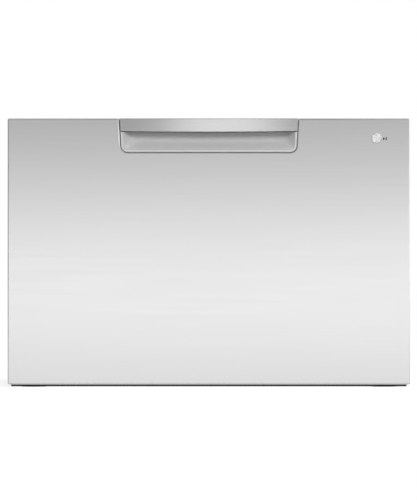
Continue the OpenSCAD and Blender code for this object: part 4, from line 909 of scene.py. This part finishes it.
def hinge_clip(x, y, z, base, width=6.0):
    """Snap-on clip: a foot on the wire below and a round eye for the rod that turns in it"""
    shape = bmesh.new()
    foot = [(x - 3.6, base), (x + 3.6, base), (x + 3.6, z - 3.4)]
    outline = foot + arc(x, z, 4.95, -43, 223, 16) + [(x - 3.6, z - 3.4)]
    sections = ((0.5, -width / 2), (0, -width / 2 + 0.5), (0, width / 2 - 0.5), (0.5, width / 2))
    outer_rows = loft(shape, [[(px, y + d, pz) for px, pz in inset(outline, e)] for e, d in sections])
    eye = circle(2.3, 24, (x, z))
    eye_rows = loft(shape, [[(px, y + d, pz) for px, pz in eye] for d in (-width / 2, width / 2)])
    fill(shape, outer_rows[0], eye_rows[0])
    fill(shape, outer_rows[-1], eye_rows[-1])
    return shape


def on_side(side, a, b):
    """The span from a to b on the right side, or its mirror image on the left"""
    return tuple(sorted((side * a, side * b)))


def dish_rack():
    """Basket of bent wires: hoops across, long wires under them, a rim, a middle rail and the hinge clips"""
    x, (y0, y1), low, high = RACK_X, RACK_Y, RACK_Z, RIM_Z - 1
    lines = [[(-x, y, high), (-x, y, low), (x, y, low), (x, y, high)] for y in evenly(y0, y1, 12)]
    lines += [[(a, y, low - WIRE_STEP) for y in (y0, y1)] for a in evenly(-x + 24, x - 24, 7)]
    lines += [[(a, y, low + 1), (a, y, high)] for a in evenly(-x, x, 10)[1:-1] for y in (y0, y1)]
    rim = [(-x, y0, RIM_Z), (x, y0, RIM_Z), (x, y1, RIM_Z), (-x, y1, RIM_Z), (-x, y0, RIM_Z)]
    rail = [(a * (1 - WIRE_STEP / x), b + (WIRE_STEP if b < 0 else -WIRE_STEP), 150) for a, b, _ in rim]
    shapes = [wires(lines, WIRE_R, 9), wires([rim, rail], WIRE_R, 7)]
    for side in (-1, 1):
        shapes.append(row_of(hinge_clip(side * ROW_X, -75, ROW_Z, RACK_Z + 1.2), 3, (0, 137.5, 0)))
        clip = hinge_clip(side * CUP_HINGE_X, CUP_CLIP_Y, CUP_Z, RIM_Z + 0.5)
        bridge = bmesh.new()
        rounded_block(bridge, on_side(side, 249.5, 256.9), (CUP_CLIP_Y - 3, CUP_CLIP_Y + 3),
                      (RIM_Z - 1, CUP_Z + 3.4), 1.2)
        shapes += [row_of(shape, 2, (0, CUP_CLIP_STEP, 0)) for shape in (clip, bridge)]
    put("dish_rack_wires", merged(*shapes), "drawer", "rack_coating", ["dish_rack"], 45)


def cup_rack(side, name):
    """Folding shelf: a closed frame whose inner side is the hinge rod, with wires and two rails across it"""
    a, b, z, (y0, y1) = side * CUP_HINGE_X, side * CUP_TIP_X, CUP_Z, CUP_Y
    frame_line = [(a, y0, z), (b, y0, z), (b, y1, z), (a, y1, z), (a, y0, z)]
    ribs = [[(a, y, z), (b, y, z)] for y in evenly(y0 + 28, y1 - 28, 9)]
    rails = [[(side * x, y, z + 4) for y in (y0 + 24, y1 - 24)] for x in (212.7, 178.4)]
    shape = merged(wires([frame_line], WIRE_R, 7.5), wires(ribs + rails, 1.9))
    node = "cup_rack_" + name
    put("cup_shelf_" + name, shape, body_of(node), "rack_coating", [node], 45)


def tine_row(side, name):
    """Rod with a row of upright tines, each with a rounded tip"""
    x, (y0, y1), top, tip_r, margin = side * ROW_X, ROW_Y, ROW_Z + 80, 2.25, 3
    tine = bmesh.new()
    turned(tine, [(WIRE_R, ROW_Z), (WIRE_R, top - 5), (tip_r, top - 4)]
           + [(tip_r * math.cos(a), top - tip_r + tip_r * math.sin(a)) for a in evenly(0, math.pi / 2, 4)],
           (x, y0 + margin, 0), "Z", 12)
    row = row_of(tine, TINES, (0, (y1 - y0 - 2 * margin) / (TINES - 1), 0))
    shape = merged(wires([[(x, y0, ROW_Z), (x, y1, ROW_Z)]], WIRE_R), row)
    node = "tine_row_" + name
    put("tines_" + name, shape, body_of(node), "rack_coating", [node], 50)


dish_rack()
for side, name in ((-1, "left"), (1, "right")):
    cup_rack(side, name)
    tine_row(side, name)

# ---------- tub ----------

TUB_X, TUB_Y, TUB_R, FLOOR_Z, TUB_RIM_Z = 277.0, (-207.0, 236.0), 38.0, 70.0, 352.0
WALL, MOUTH_R = 3, 98
POST_X, POST_Y = 238, (-180, 209)


def tub_ring(out_x, out_y, r, z):
    """Rounded rectangle round the tub, drawn out or in by so much, at a height"""
    outline = round_box((-TUB_X - out_x, TUB_X + out_x), (TUB_Y[0] - out_y, TUB_Y[1] + out_y), r, 10)
    return [(x, y, z) for x, y in outline]


def tub_inside():
    """Rings up the inside: the floor's rounded edge, the wall, the step that the seal lands on and the rim"""
    soft = 14
    rings = [tub_ring(-WALL - soft, -WALL - soft, TUB_R - WALL - soft + 6, FLOOR_Z)]
    for a in evenly(15, 90, 5):
        c, d = soft * math.cos(math.radians(a)), soft * math.sin(math.radians(a))
        out = -WALL - soft + d
        rings.append(tub_ring(out, out, TUB_R - WALL - (soft - d) * 0.6, FLOOR_Z + soft - c))
    for z, out in ((300, -3), (303, -3), (305, -2.7), (307, -2.1), (309, -1.8), (349.5, -1.8), (351, -1.4),
                   (351.7, -0.6), (TUB_RIM_Z, 0.4)):
        rings.append(tub_ring(out, out, TUB_R + out, z))
    return rings


def tub_outside():
    """Rings down the outside: the rolled rim, the wall and the rounded edge of the underside"""
    rings = [tub_ring(*ring) for ring in (
        (2.2, 5.2, 40, TUB_RIM_Z), (2.8, 5.8, 40.8, 351.6), (3, 6, 41, 351), (3, 6, 41, 349.6),
        (2.6, 5.6, 40.6, 349), (0.6, 0.8, 38.6, 349), (0, 0, 38, 348), (0, 0, 38, FLOOR_Z + 12))]
    soft = 15
    for a in evenly(15, 90, 5):
        c, d = soft * (1 - math.cos(math.radians(a))), soft * math.sin(math.radians(a))
        rings.append(tub_ring(-c, -c, TUB_R - c * 0.6, FLOOR_Z + 12 - d))
    return rings


def wash_tub():
    """Moulded tub with the sump's mouth in its floor and the openings for the dispenser and the drying air"""
    shape = bmesh.new()
    rows = loft(shape, tub_inside() + tub_outside())
    middle = (0, (TUB_Y[0] + TUB_Y[1]) / 2)
    steps = ((MOUTH_R + 3, 0), (MOUTH_R + 1.4, -0.3), (MOUTH_R + 0.4, -1), (MOUTH_R, -3))
    mouth_rows = loft(shape, [[(x, y, FLOOR_Z + z) for x, y in circle(r, 60, middle)] for r, z in steps])
    fill(shape, rows[0], mouth_rows[0])
    fill(shape, rows[-1], mouth_rows[-1])
    tub = put("wash_tub", shape, "drawer", "tub_moulding", ["drawer_tub"], 40)
    for x, z in (((-140, -30), (252, 328)), ((108, 132), (232, 252))):
        cutter = bmesh.new()
        outline = round_box(x, z, 4)
        loft(cutter, [[(px, y, pz) for px, pz in outline] for y in (-212, -198)], caps=(True, True))
        cut_by(tub, cutter)


def tub_braces():
    """Posts that the dish rack stands on, and the ribbed braces from the tub to the front panel"""
    shape = bmesh.new()
    low, top = FLOOR_Z, RACK_Z - WIRE_R - WIRE_STEP - 0.3
    post = [(13, low - 0.5), (11, low + 0.4), (9.8, low + 1.4), (9, low + 3.5), (8.7, 91.5), (8.2, 93),
            (7, top), (0, top)]
    for x in (-POST_X, POST_X):
        for y in POST_Y:
            turned(shape, post, (x, y, 0), "Z", 28)
    for side in (-1, 1):
        rounded_block(shape, on_side(side, 252, 255), (-264, -206), (80, 340), 0.8)
        for z in (124, 206, 288):
            rounded_block(shape, on_side(side, 246, 253), (-263.5, -206.5), (z, z + 2.5), 0.6)
    rounded_block(shape, (-253, 253), (-264, -206), (80, 83), 0.8)
    rounded_block(shape, (248, 276), (222, 273), (330.4, 343.6), 4)
    put("tub_braces", shape, "drawer", "tub_moulding", (), 35)


wash_tub()
tub_braces()

# ---------- drain hose ----------

HOSE_R, RIDGE_PITCH, RIDGE_DEPTH = 8.0, 5.0, 0.06
HOSE_HALF = [(-262, 261, 330), (-262, 261, 322), (-262, 261, 300), (-256, 261, 262), (-240, 261, 228),
             (-214, 261, 196), (-180, 261, 168), (-140, 261, 146), (-96, 261, 131), (-50, 261, 122),
             (0, 261, 119)]
HOSE_ROUTE = HOSE_HALF + [(-x, y, z) for x, y, z in HOSE_HALF[-2::-1]]

def smoothed(route, steps):
    """Points of a smooth curve through a route"""
    ends = [route[0]] + route + [route[-1]]
    line = []
    for i in range(len(route) - 1):
        a, b, c, d = (Vector(p) for p in ends[i:i + 4])
        for k in range(steps):
            t = k / steps
            line.append(0.5 * (2 * b + (c - a) * t + (2 * a - 5 * b + 4 * c - d) * t * t
                               + (3 * b - a - 3 * c + d) * t ** 3))
    return line + [Vector(route[-1])]


def calculation(tree, operation, *terms):
    """A sum in a tree; a term is a socket or a number"""
    work = tree.nodes.new("ShaderNodeMath")
    work.operation = operation
    for i, term in enumerate(terms):
        if isinstance(term, (int, float)):
            work.inputs[i].default_value = term
        else:
            join(tree, term, work.inputs[i])
    return work.outputs[0]


def hose_tree():
    """Ribbed hose: a tube along a line, whose ridges repeat at an even pitch"""
    sizes = {"Hose radius": "Float", "Ridge pitch": "Float", "Ridge depth": "Float", "Sides": "Int"}
    tree, given = growing_tree("ribbed_hose", sizes)
    line, even, along, section, sweep = (tree.nodes.new("GeometryNode" + kind) for kind in (
        "MeshToCurve", "ResampleCurve", "SplineParameter", "CurvePrimitiveCircle", "CurveToMesh"))
    even.mode = "LENGTH"
    sweep.inputs["Fill Caps"].default_value = True
    pitch, depth = given.outputs["Ridge pitch"], given.outputs["Ridge depth"]
    turns = calculation(tree, "DIVIDE", along.outputs["Length"], pitch)
    wave = calculation(tree, "COSINE", calculation(tree, "MULTIPLY", turns, 2 * math.pi))
    share = calculation(tree, "MULTIPLY_ADD", wave, depth, calculation(tree, "SUBTRACT", 1, depth))
    join(tree, given.outputs["Geometry"], line.inputs[0])
    join(tree, line.outputs[0], even.inputs["Curve"])
    join(tree, calculation(tree, "DIVIDE", pitch, 8), even.inputs["Length"])
    join(tree, given.outputs["Sides"], section.inputs["Resolution"])
    join(tree, given.outputs["Hose radius"], section.inputs["Radius"])
    join(tree, even.outputs[0], sweep.inputs["Curve"])
    join(tree, section.outputs[0], sweep.inputs["Profile Curve"])
    join(tree, share, sweep.inputs["Scale"])
    return end_tree(tree, given, sweep.outputs[0])


def drain_hose():
    """Corrugated hose hanging in the gap behind the tub, from the cabinet's clip to the tub's lug"""
    path = [p * MM for p in smoothed(HOSE_ROUTE, 6)]
    mesh = bpy.data.meshes.new("hose_line")
    mesh.from_pydata(path, [(i, i + 1) for i in range(len(path) - 1)], [])
    tube = grown(hose_tree(), mesh, "hose_grey", hose_radius=HOSE_R * MM, ridge_pitch=RIDGE_PITCH * MM,
                 ridge_depth=RIDGE_DEPTH, sides=20)
    hose = put("ribbed_drain_hose", merged(tube), None, "hose_grey", ["drain_hose"], 60)
    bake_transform(hose)


drain_hose()

# ---------- washing parts in the tub ----------

AXIS_Y, ARM_R, TOWER_R = 14.5, 195.0, 14.0
FILTER_R, FILTER_TOP, FILTER_FOOT, SHEET_Z, SEAT_X, SEAT_R = 97.6, 70.0, 67.5, 69.0, 62.0, 24.1
WINDOWS, WINDOW_R, PUNCH_PITCH, PUNCH_R = [(70, 138), (146, 214), (222, 290)], (38, 88), 3.8, 1.1
JET = [(0, 84), (5.2, 84), (4.9, 86.6), (4.2, 87.9), (3.4, 88.7), (1.7, 88.9), (1.3, 88.5), (1.2, 87.2),
       (0, 87.2)]
HUB = [(0, 86.4), (14.1, 86.4), (14.1, 70.4), (20.2, 70.4), (21, 71.2), (21, 84.5), (20.6, 86.6),
       (19.2, 88.2), (17.2, 88.9), (8.4, 89.0), (7.9, 88.2), (0, 88.0)]


def arm_section(x):
    """Outline of the spray arm at a distance from its middle: flat below, crowned above, two fine grooves"""
    from_tip = min((ARM_R - abs(x)) / 14, 1)
    swell = math.sqrt(max(1 - (1 - from_tip) ** 2, 0.0004))
    half, crown = (16.4 - 1.6 * abs(x) / ARM_R) * swell, 3.9 * (0.35 + 0.65 * swell)
    top = [(1, -0.35), (0.93, 0.05), (0.8, 0.45), (0.66, 0.72), (0.6, 0.7), (0.55, 0.58), (0.5, 0.78),
           (0.3, 0.93), (0, 1)]
    upper = [(half * w, 83.1 + crown * h) for w, h in top]
    lower = [(half * 0.9, 79.4), (-half * 0.9, 79.4), (-half, 80.4)]
    return [(half, 80.4)] + upper + [(-a, b) for a, b in upper[-2::-1]] + lower


def spray_arm():
    """Moulded spray arm: a long crowned blade, raised jets and a capped hub that turns on the tower"""
    shape = bmesh.new()
    stations = [ARM_R * c for c in (-1, -0.9985, -0.994, -0.985, -0.97, -0.95, -0.93)] + evenly(-175, 175, 20)
    stations += [-x for x in stations[6::-1]]
    loft(shape, [[(x, AXIS_Y + y, z) for y, z in arm_section(x)] for x in stations], caps=(True, True))
    for side in (-1, 1):
        for d in (60, 94, 128, 162):
            turned(shape, JET, (side * d, AXIS_Y + side * ((d % 4) * 2 - 3), 0), "Z", 24)
    for a in (0, 2.1, 4.2):
        turned(shape, [(3.4, 89.0), (3.4, 89.7), (2.9, 89.95), (0, 89.95)],
               (12.5 * math.cos(a), AXIS_Y + 12.5 * math.sin(a), 0), "Z", 16)
    turned(shape, HUB, (0, AXIS_Y, 0), "Z", 56)
    put("moulded_spray_arm", shape, body_of("spray_arm"), "blue_grey", ["spray_arm"], 38)


def hexagon_tile(pitch, hole_r, thick):
    """Six-sided tile with a round hole, so that tiles side by side make a punched sheet"""
    shape = bmesh.new()
    outer = arc(0, 0, pitch / math.sqrt(3), 30, 330, 5)
    hole = arc(0, 0, hole_r, 30, 330, 5)
    rows = loft(shape, [[(x, y, z) for x, y in hole] for z in (0, thick)])
    skirts = [[shape.verts.new((x, y, z)) for x, y in outer] for z in (0, thick)]
    for ring, skirt in zip(rows, skirts):
        for i in range(6):
            j = (i + 1) % 6
            shape.faces.new((ring[i], ring[j], skirt[j], skirt[i]))
    return shape


def round_axis(points, z):
    """An outline round the spray arm's axis, at a height"""
    return [(x, AXIS_Y + y, z) for x, y in points]


def window(a0, a1, grow=0.0):
    """Outline of a window of the filter plate between two angles, drawn out by so much"""
    r0, r1 = WINDOW_R
    turn0, turn1 = math.degrees(grow / r0), math.degrees(grow / r1)
    return arc(0, 0, r1 + grow, a0 - turn1, a1 + turn1, 24) + arc(0, 0, r0 - grow, a1 + turn0, a0 - turn0, 14)


def filter_bell():
    """The frame's filter plate without its flat ring, so that only the bell and the tower are left of it"""
    bell = dress("filter_plate", "filter_steel", 0)
    low, high = FILTER_FOOT - 0.04, FILTER_TOP + 1
    cutter = bmesh.new()
    section = [(TOWER_R, low), (FILTER_R + 2, low), (FILTER_R + 2, high), (TOWER_R, high)]
    rows = loft(cutter, [round_axis(circle(r, 72), z) for r, z in section])
    for i, corner in enumerate(rows[0]):
        j = (i + 1) % len(rows[0])
        cutter.faces.new((rows[-1][i], rows[-1][j], rows[0][j], corner))
    cut_by(bell, cutter)


def filter_rim():
    """Moulded ring round the tower and the drain filter's seat, with three windows and a bead round each"""
    shape = bmesh.new()
    top, foot = FILTER_TOP, FILTER_FOOT
    walls = []
    for r, grow, x in ((FILTER_R, -0.6, 0), (TOWER_R, 0.05, 0), (SEAT_R, 0.5, SEAT_X)):
        edge = ((r + grow, top), (r, top - 0.6), (r, foot))
        walls.append([round_axis(circle(radius, 96, (x, 0)), z) for radius, z in edge])
    for a0, a1 in WINDOWS:
        walls.append([round_axis(window(a0, a1, d), z) for d, z in ((0.5, top), (0, top - 0.5), (0, foot))])
    rows = [loft(shape, wall) for wall in walls]
    fill(shape, *(row[0] for row in rows))
    fill(shape, *(row[-1] for row in rows))
    bead = ((0.9, -0.1), (0.9, 0.3), (1.2, 0.5), (1.8, 0.5), (2.1, 0.3), (2.1, -0.1))
    for a0, a1 in WINDOWS:
        loft(shape, [round_axis(window(a0, a1, d), top + z) for d, z in bead])
    put("filter_rim", shape, "drawer", "filter_steel", (), 35)


def punched_sheet():
    """Sheet full of round holes behind the filter's windows, reaching a little under the ring round them"""
    places, thick, margin = [], 0.5, 1.5
    for row in range(-28, 29):
        for column in range(-28, 29):
            x, y = PUNCH_PITCH * (column + 0.5 * (row % 2)), PUNCH_PITCH * row * math.sqrt(3) / 2
            a = math.degrees(math.atan2(y, x)) % 360
            behind = any(a0 - margin < a < a1 + margin for a0, a1 in WINDOWS)
            if behind and WINDOW_R[0] - margin < math.hypot(x, y) < WINDOW_R[1] + margin:
                places.append(((x, AXIS_Y + y, SHEET_Z - thick), UP))
    sheet = set_on(hexagon_tile(PUNCH_PITCH, PUNCH_R, thick), places, "filter_steel")
    put("punched_sheet", sheet, "drawer", "filter_steel", (), 35)


spray_arm()
filter_bell()
filter_rim()
punched_sheet()

# ---------- keys on top of the drawer's front ----------

KEY_X, KEY_Y, KEY_SIZE, DECK_Z, KEY_FOOT = (60, 92, 124), -240.0, (9.0, 4.5), 384.0, 379.7
KEY_MARKS = {
    "power_key": [(arc(0, 0, 1.9, 125, 415, 16), False), ([(0, 0.5), (0, 2.6)], False)],
    "program_key": [(arc(0, 0, 1.9, 70, 340, 16), False), ([(0.2, 2.5), (0.9, 1.75), (0.1, 1.1)], False)],
    "lock_key": [([(-1.7, -1.9), (1.7, -1.9), (1.7, 0.4), (-1.7, 0.4)], True),
                 (arc(0, 0.4, 1.15, 0, 180, 10), False)],
}


def mark_strip(shape, points, half, z, closed=False):
    """A printed line of even width along points, as thin as ink"""
    flat = [Vector(p) for p in points]
    rows = []
    for i, here in enumerate(flat):
        before = flat[i - 1] if closed or i else here
        after = flat[(i + 1) % len(flat)] if closed or i < len(flat) - 1 else here
        way = (after - before).normalized()
        side = Vector((-way.y, way.x)) * half
        section = ((1, z), (-1, z), (-1, z + 0.05), (1, z + 0.05))
        rows.append([(here.x + side.x * a, here.y + side.y * a, b) for a, b in section])
    loft(shape, rows + rows[:1] if closed else rows, caps=(not closed, not closed))


def printed(name, body, x, z, lines):
    """Lines printed on a key, round its middle"""
    shape = bmesh.new()
    for line, closed in lines:
        mark_strip(shape, [(x + a, KEY_Y + b) for a, b in line], 0.22, z, closed)
    put(name, shape, body, "frame_black", (), 30, PRINT_INK)


def front_keys():
    """Three soft keys with dished tops and their printed marks"""
    (hx, hy), top, foot = KEY_SIZE, DECK_Z + 1.4, KEY_FOOT
    profile = [(0, foot + 1), (0, top - 0.6), (0.15, top - 0.2), (0.55, top), (1.0, top), (1.7, top - 0.1)]
    for x, (node, lines) in zip(KEY_X, KEY_MARKS.items()):
        shape = bmesh.new()
        outline = round_box((x - hx, x + hx), (KEY_Y - hy, KEY_Y + hy), 1.8, 5)
        loft(shape, [[(px, py, z) for px, py in inset(outline, d)] for d, z in profile], caps=(True, True))
        rounded_block(shape, (x - hx - 1, x + hx + 1), (KEY_Y - hy - 1, KEY_Y + hy + 1),
                      (foot, foot + 1.5), 1)
        put(node + "_cap", shape, body_of(node), "key_grey", [node], 35)
        printed(node + "_mark", body_of(node), x, top - 0.1, lines)


def deck_lamps():
    """Small lamps on the deck behind the keys"""
    lamp = bmesh.new()
    turned(lamp, [(1.3, -0.3), (1.3, 0.1), (1.0, 0.4), (0.5, 0.55), (0, 0.6)], (0, 0, 0), "Z", 20)
    places = [((x, KEY_Y + 9, DECK_Z), UP) for x in (*KEY_X, KEY_X[1] - 6, KEY_X[1] + 6)]
    put("deck_lamps", set_on(lamp, places, "key_grey"), "drawer", "key_grey", (), 40, LAMP_CLEAR)


front_keys()
deck_lamps()

# ---------- screws and the services on the back ----------

SERVICE_Y, SERVICE_Z, INLET_X, DRAIN_X, MAINS_X = 263.0, 74.0, -244, -192, -138


def pan_head(r, h):
    """Pan-head screw standing on nought, with a cross recess sunk in its top"""
    shape = bmesh.new()
    arm, tip = r * 0.13, r * 0.6
    cross = [(arm, tip), (-arm, tip), (-arm, arm), (-tip, arm), (-tip, -arm), (-arm, -arm), (-arm, -tip),
             (arm, -tip), (arm, -arm), (tip, -arm), (tip, arm), (arm, arm)]
    head = ((r, 0), (r, h * 0.3), (r * 0.96, h * 0.6), (r * 0.86, h * 0.85), (r * 0.72, h))
    rows = loft(shape, [[(x, y, z) for x, y in circle(radius, 32)] for radius, z in head], caps=(True, False))
    sunk = [[(x * share, y * share, z) for x, y in cross] for share, z in ((1, h), (0.7, h * 0.35))]
    recess = loft(shape, sunk, caps=(False, True))
    fill(shape, rows[-1], recess[0])
    return shape


def case_screws():
    """Screws that hold the casing's sheets: along the top's side edges and up the rear edges"""
    places = [((side * 290, y, 398), UP) for side in (-1, 1) for y in (-224, 0, 257)]
    places += [((side * 295, 275, z), (side, 0, 0)) for side in (-1, 1) for z in evenly(30, 330, 3)]
    put("case_screws", set_on(pan_head(3.2, 1.0), places, "screw_steel"), "chassis", "screw_steel",
        ["chassis_screws"], 35)


def service_tube(profile, x, bore, mouth):
    """A turned part on a pipe's axis through the service bay, with a bore from its end inwards"""
    shape = bmesh.new()
    end = profile[-1][1]
    lip = [(bore + 0.8, end), (bore, end - 0.8), (bore, mouth), (0, mouth)]
    turned(shape, profile + lip, (x, 0, SERVICE_Z), "Y", 48)
    return shape


def thread(r, depth, start, end, pitch):
    """Profile of a thread's ridges along a pipe"""
    line = []
    for i in range(round((end - start) / pitch)):
        y = start + i * pitch
        line += [(r - depth, y + pitch * 0.1), (r, y + pitch * 0.4), (r, y + pitch * 0.6),
                 (r - depth, y + pitch * 0.9)]
    return line


def inlet_valve():
    """Water inlet valve: a square plate, a threaded connector behind it and its coil's case before it"""
    y, x, z = SERVICE_Y, INLET_X, SERVICE_Z
    plate = bmesh.new()
    rounded_block(plate, (x - 18, x + 18), (z - 18, z + 18), (y, y + 6), 4, 5)
    swapped = Matrix(((1, 0, 0, 0), (0, 0, 1, 0), (0, 1, 0, 0), (0, 0, 0, 1)))
    bmesh.ops.transform(plate, matrix=swapped, verts=plate.verts)
    collar = [(0, y + 4), (16, y + 4), (16, y + 7), (15.2, y + 7.8), (12.3, y + 7.9)]
    ridges = thread(13.2, 0.9, y + 8.2, y + 20.2, 2)
    connector = service_tube(collar + ridges + [(12.2, y + 20.6), (11.6, y + 21)], x, 8, y + 9)
    coil = service_tube([(0, y - 15), (13, y - 15), (14, y - 14), (14, y - 1.6), (13.4, y - 1)], x, 5, y - 6)
    valve = merged(*(in_metres(shape) for shape in (plate, connector, coil)))
    put("water_inlet_valve", valve, "chassis", "valve_white", ["inlet_valve"], 35)


def drain_spigot():
    """Drain outlet: a flange and a pipe with three barbs"""
    y = SERVICE_Y
    flange = [(0, y + 0.2), (14.4, y + 0.2), (15, y + 0.8), (15, y + 2.4), (14.4, y + 3), (10.4, y + 3),
              (8.9, y + 4.2)]
    barbs = []
    for i in range(3):
        start = y + 5.5 + i * 4.6
        barbs += [(8.5, start), (9.5, start + 0.5), (9.5, start + 1.2), (8.6, start + 4.5)]
    spigot = service_tube(flange + barbs + [(8.5, y + 20.4), (8.1, y + 21)], DRAIN_X, 7, y + 0.8)
    put("drain_outlet_spigot", spigot, "chassis", "frame_black", ["drain_spigot"], 35)


def cable_entry():
    """Six-sided nut on the terminal box, and the small screws of the box and of the inlet's plate"""
    x, z, front = MAINS_X, SERVICE_Z, SERVICE_Y + 21
    nut = bmesh.new()
    flats = ((14.6, front - 0.2), (14.6, front + 2.1), (13.8, front + 2.6))
    hole = ((10.4, front - 0.2), (10.4, front + 2.0), (11.0, front + 2.6))
    rows, hole_rows = (loft(nut, [[(px, depth, pz) for px, pz in circle(radius, sides, (x, z))]
                                  for radius, depth in rings]) for rings, sides in ((flats, 6), (hole, 48)))
    fill(nut, rows[0], hole_rows[0])
    fill(nut, rows[-1], hole_rows[-1])
    put("cable_entry_nut", nut, "chassis", "frame_black", (), 25)
    places = [((x + px, front, z + pz), BACK) for px in (-19.5, 19.5) for pz in (-17.5, 17.5)]
    places += [((INLET_X + px, SERVICE_Y + 6, z - px), BACK) for px in (-14, 14)]
    put("service_screws", set_on(pan_head(2.3, 1.2), places, "screw_steel"), "chassis", "screw_steel", (), 35)


case_screws()
inlet_valve()
drain_spigot()
cable_entry()

# ---------- parts that keep the frame's own shape ----------

# by finish: each part and how far its edges are rounded
DRESSED = {
    "frame_black": {"front_frame": 0.4, "terminal_box": 0.6, "lid_actuators": 0.6},
    "gasket_rubber": {"front_gasket": 0.3, "lid_seal": 0.8},
    "galvanised_sheet": {"base_tray": 0.4, "side_panels": 0.3, "top_panel": 0.3, "back_panel": 0.3,
                         "mounting_brackets": 0.3},
    "runner_steel": {"runner_outer_left": 0.3, "runner_outer_right": 0.3, "runner_middle_left": 0.3,
                     "runner_middle_right": 0.3, "runner_inner_left": 0.3, "runner_inner_right": 0.3,
                     "lid_link_rear_left": 0.4, "lid_link_rear_right": 0.4, "lid_link_front_left": 0.4,
                     "lid_link_front_right": 0.4},
    "screw_steel": {"outer_ball_cages": 0, "inner_ball_cages": 0},
    "foot_black": {"foot_front_left": 0.6, "foot_front_right": 0.6, "foot_rear_left": 0.6,
                   "foot_rear_right": 0.6},
    "lid_grey": {"tub_lid": 0.8},
    "tub_moulding": {"sump_bowl": 0.8},
    "liner_grey": {"front_liner": 0.5},
    "deck_grey": {"control_deck": 0.6},
    "board_green": {"control_board": 0.2},
    "heater_steel": {"heater_ring": 0},
    "copper_winding": {"motor_stator": 0.5},
    "dispenser_grey": {"dispenser_body": 0.6, "fan_housing": 0.6},
    "blue_grey": {"dispenser_lid": 0.6, "rinse_aid_cap": 0.6, "cutlery_basket": 0.6, "drain_filter": 0.5},
    "rotor_black": {"pump_rotor": 0.4, "fan_impeller": 0.2},
}
for slot_name, edges in DRESSED.items():
    for node, edge in edges.items():
        dress(node, slot_name, edge)
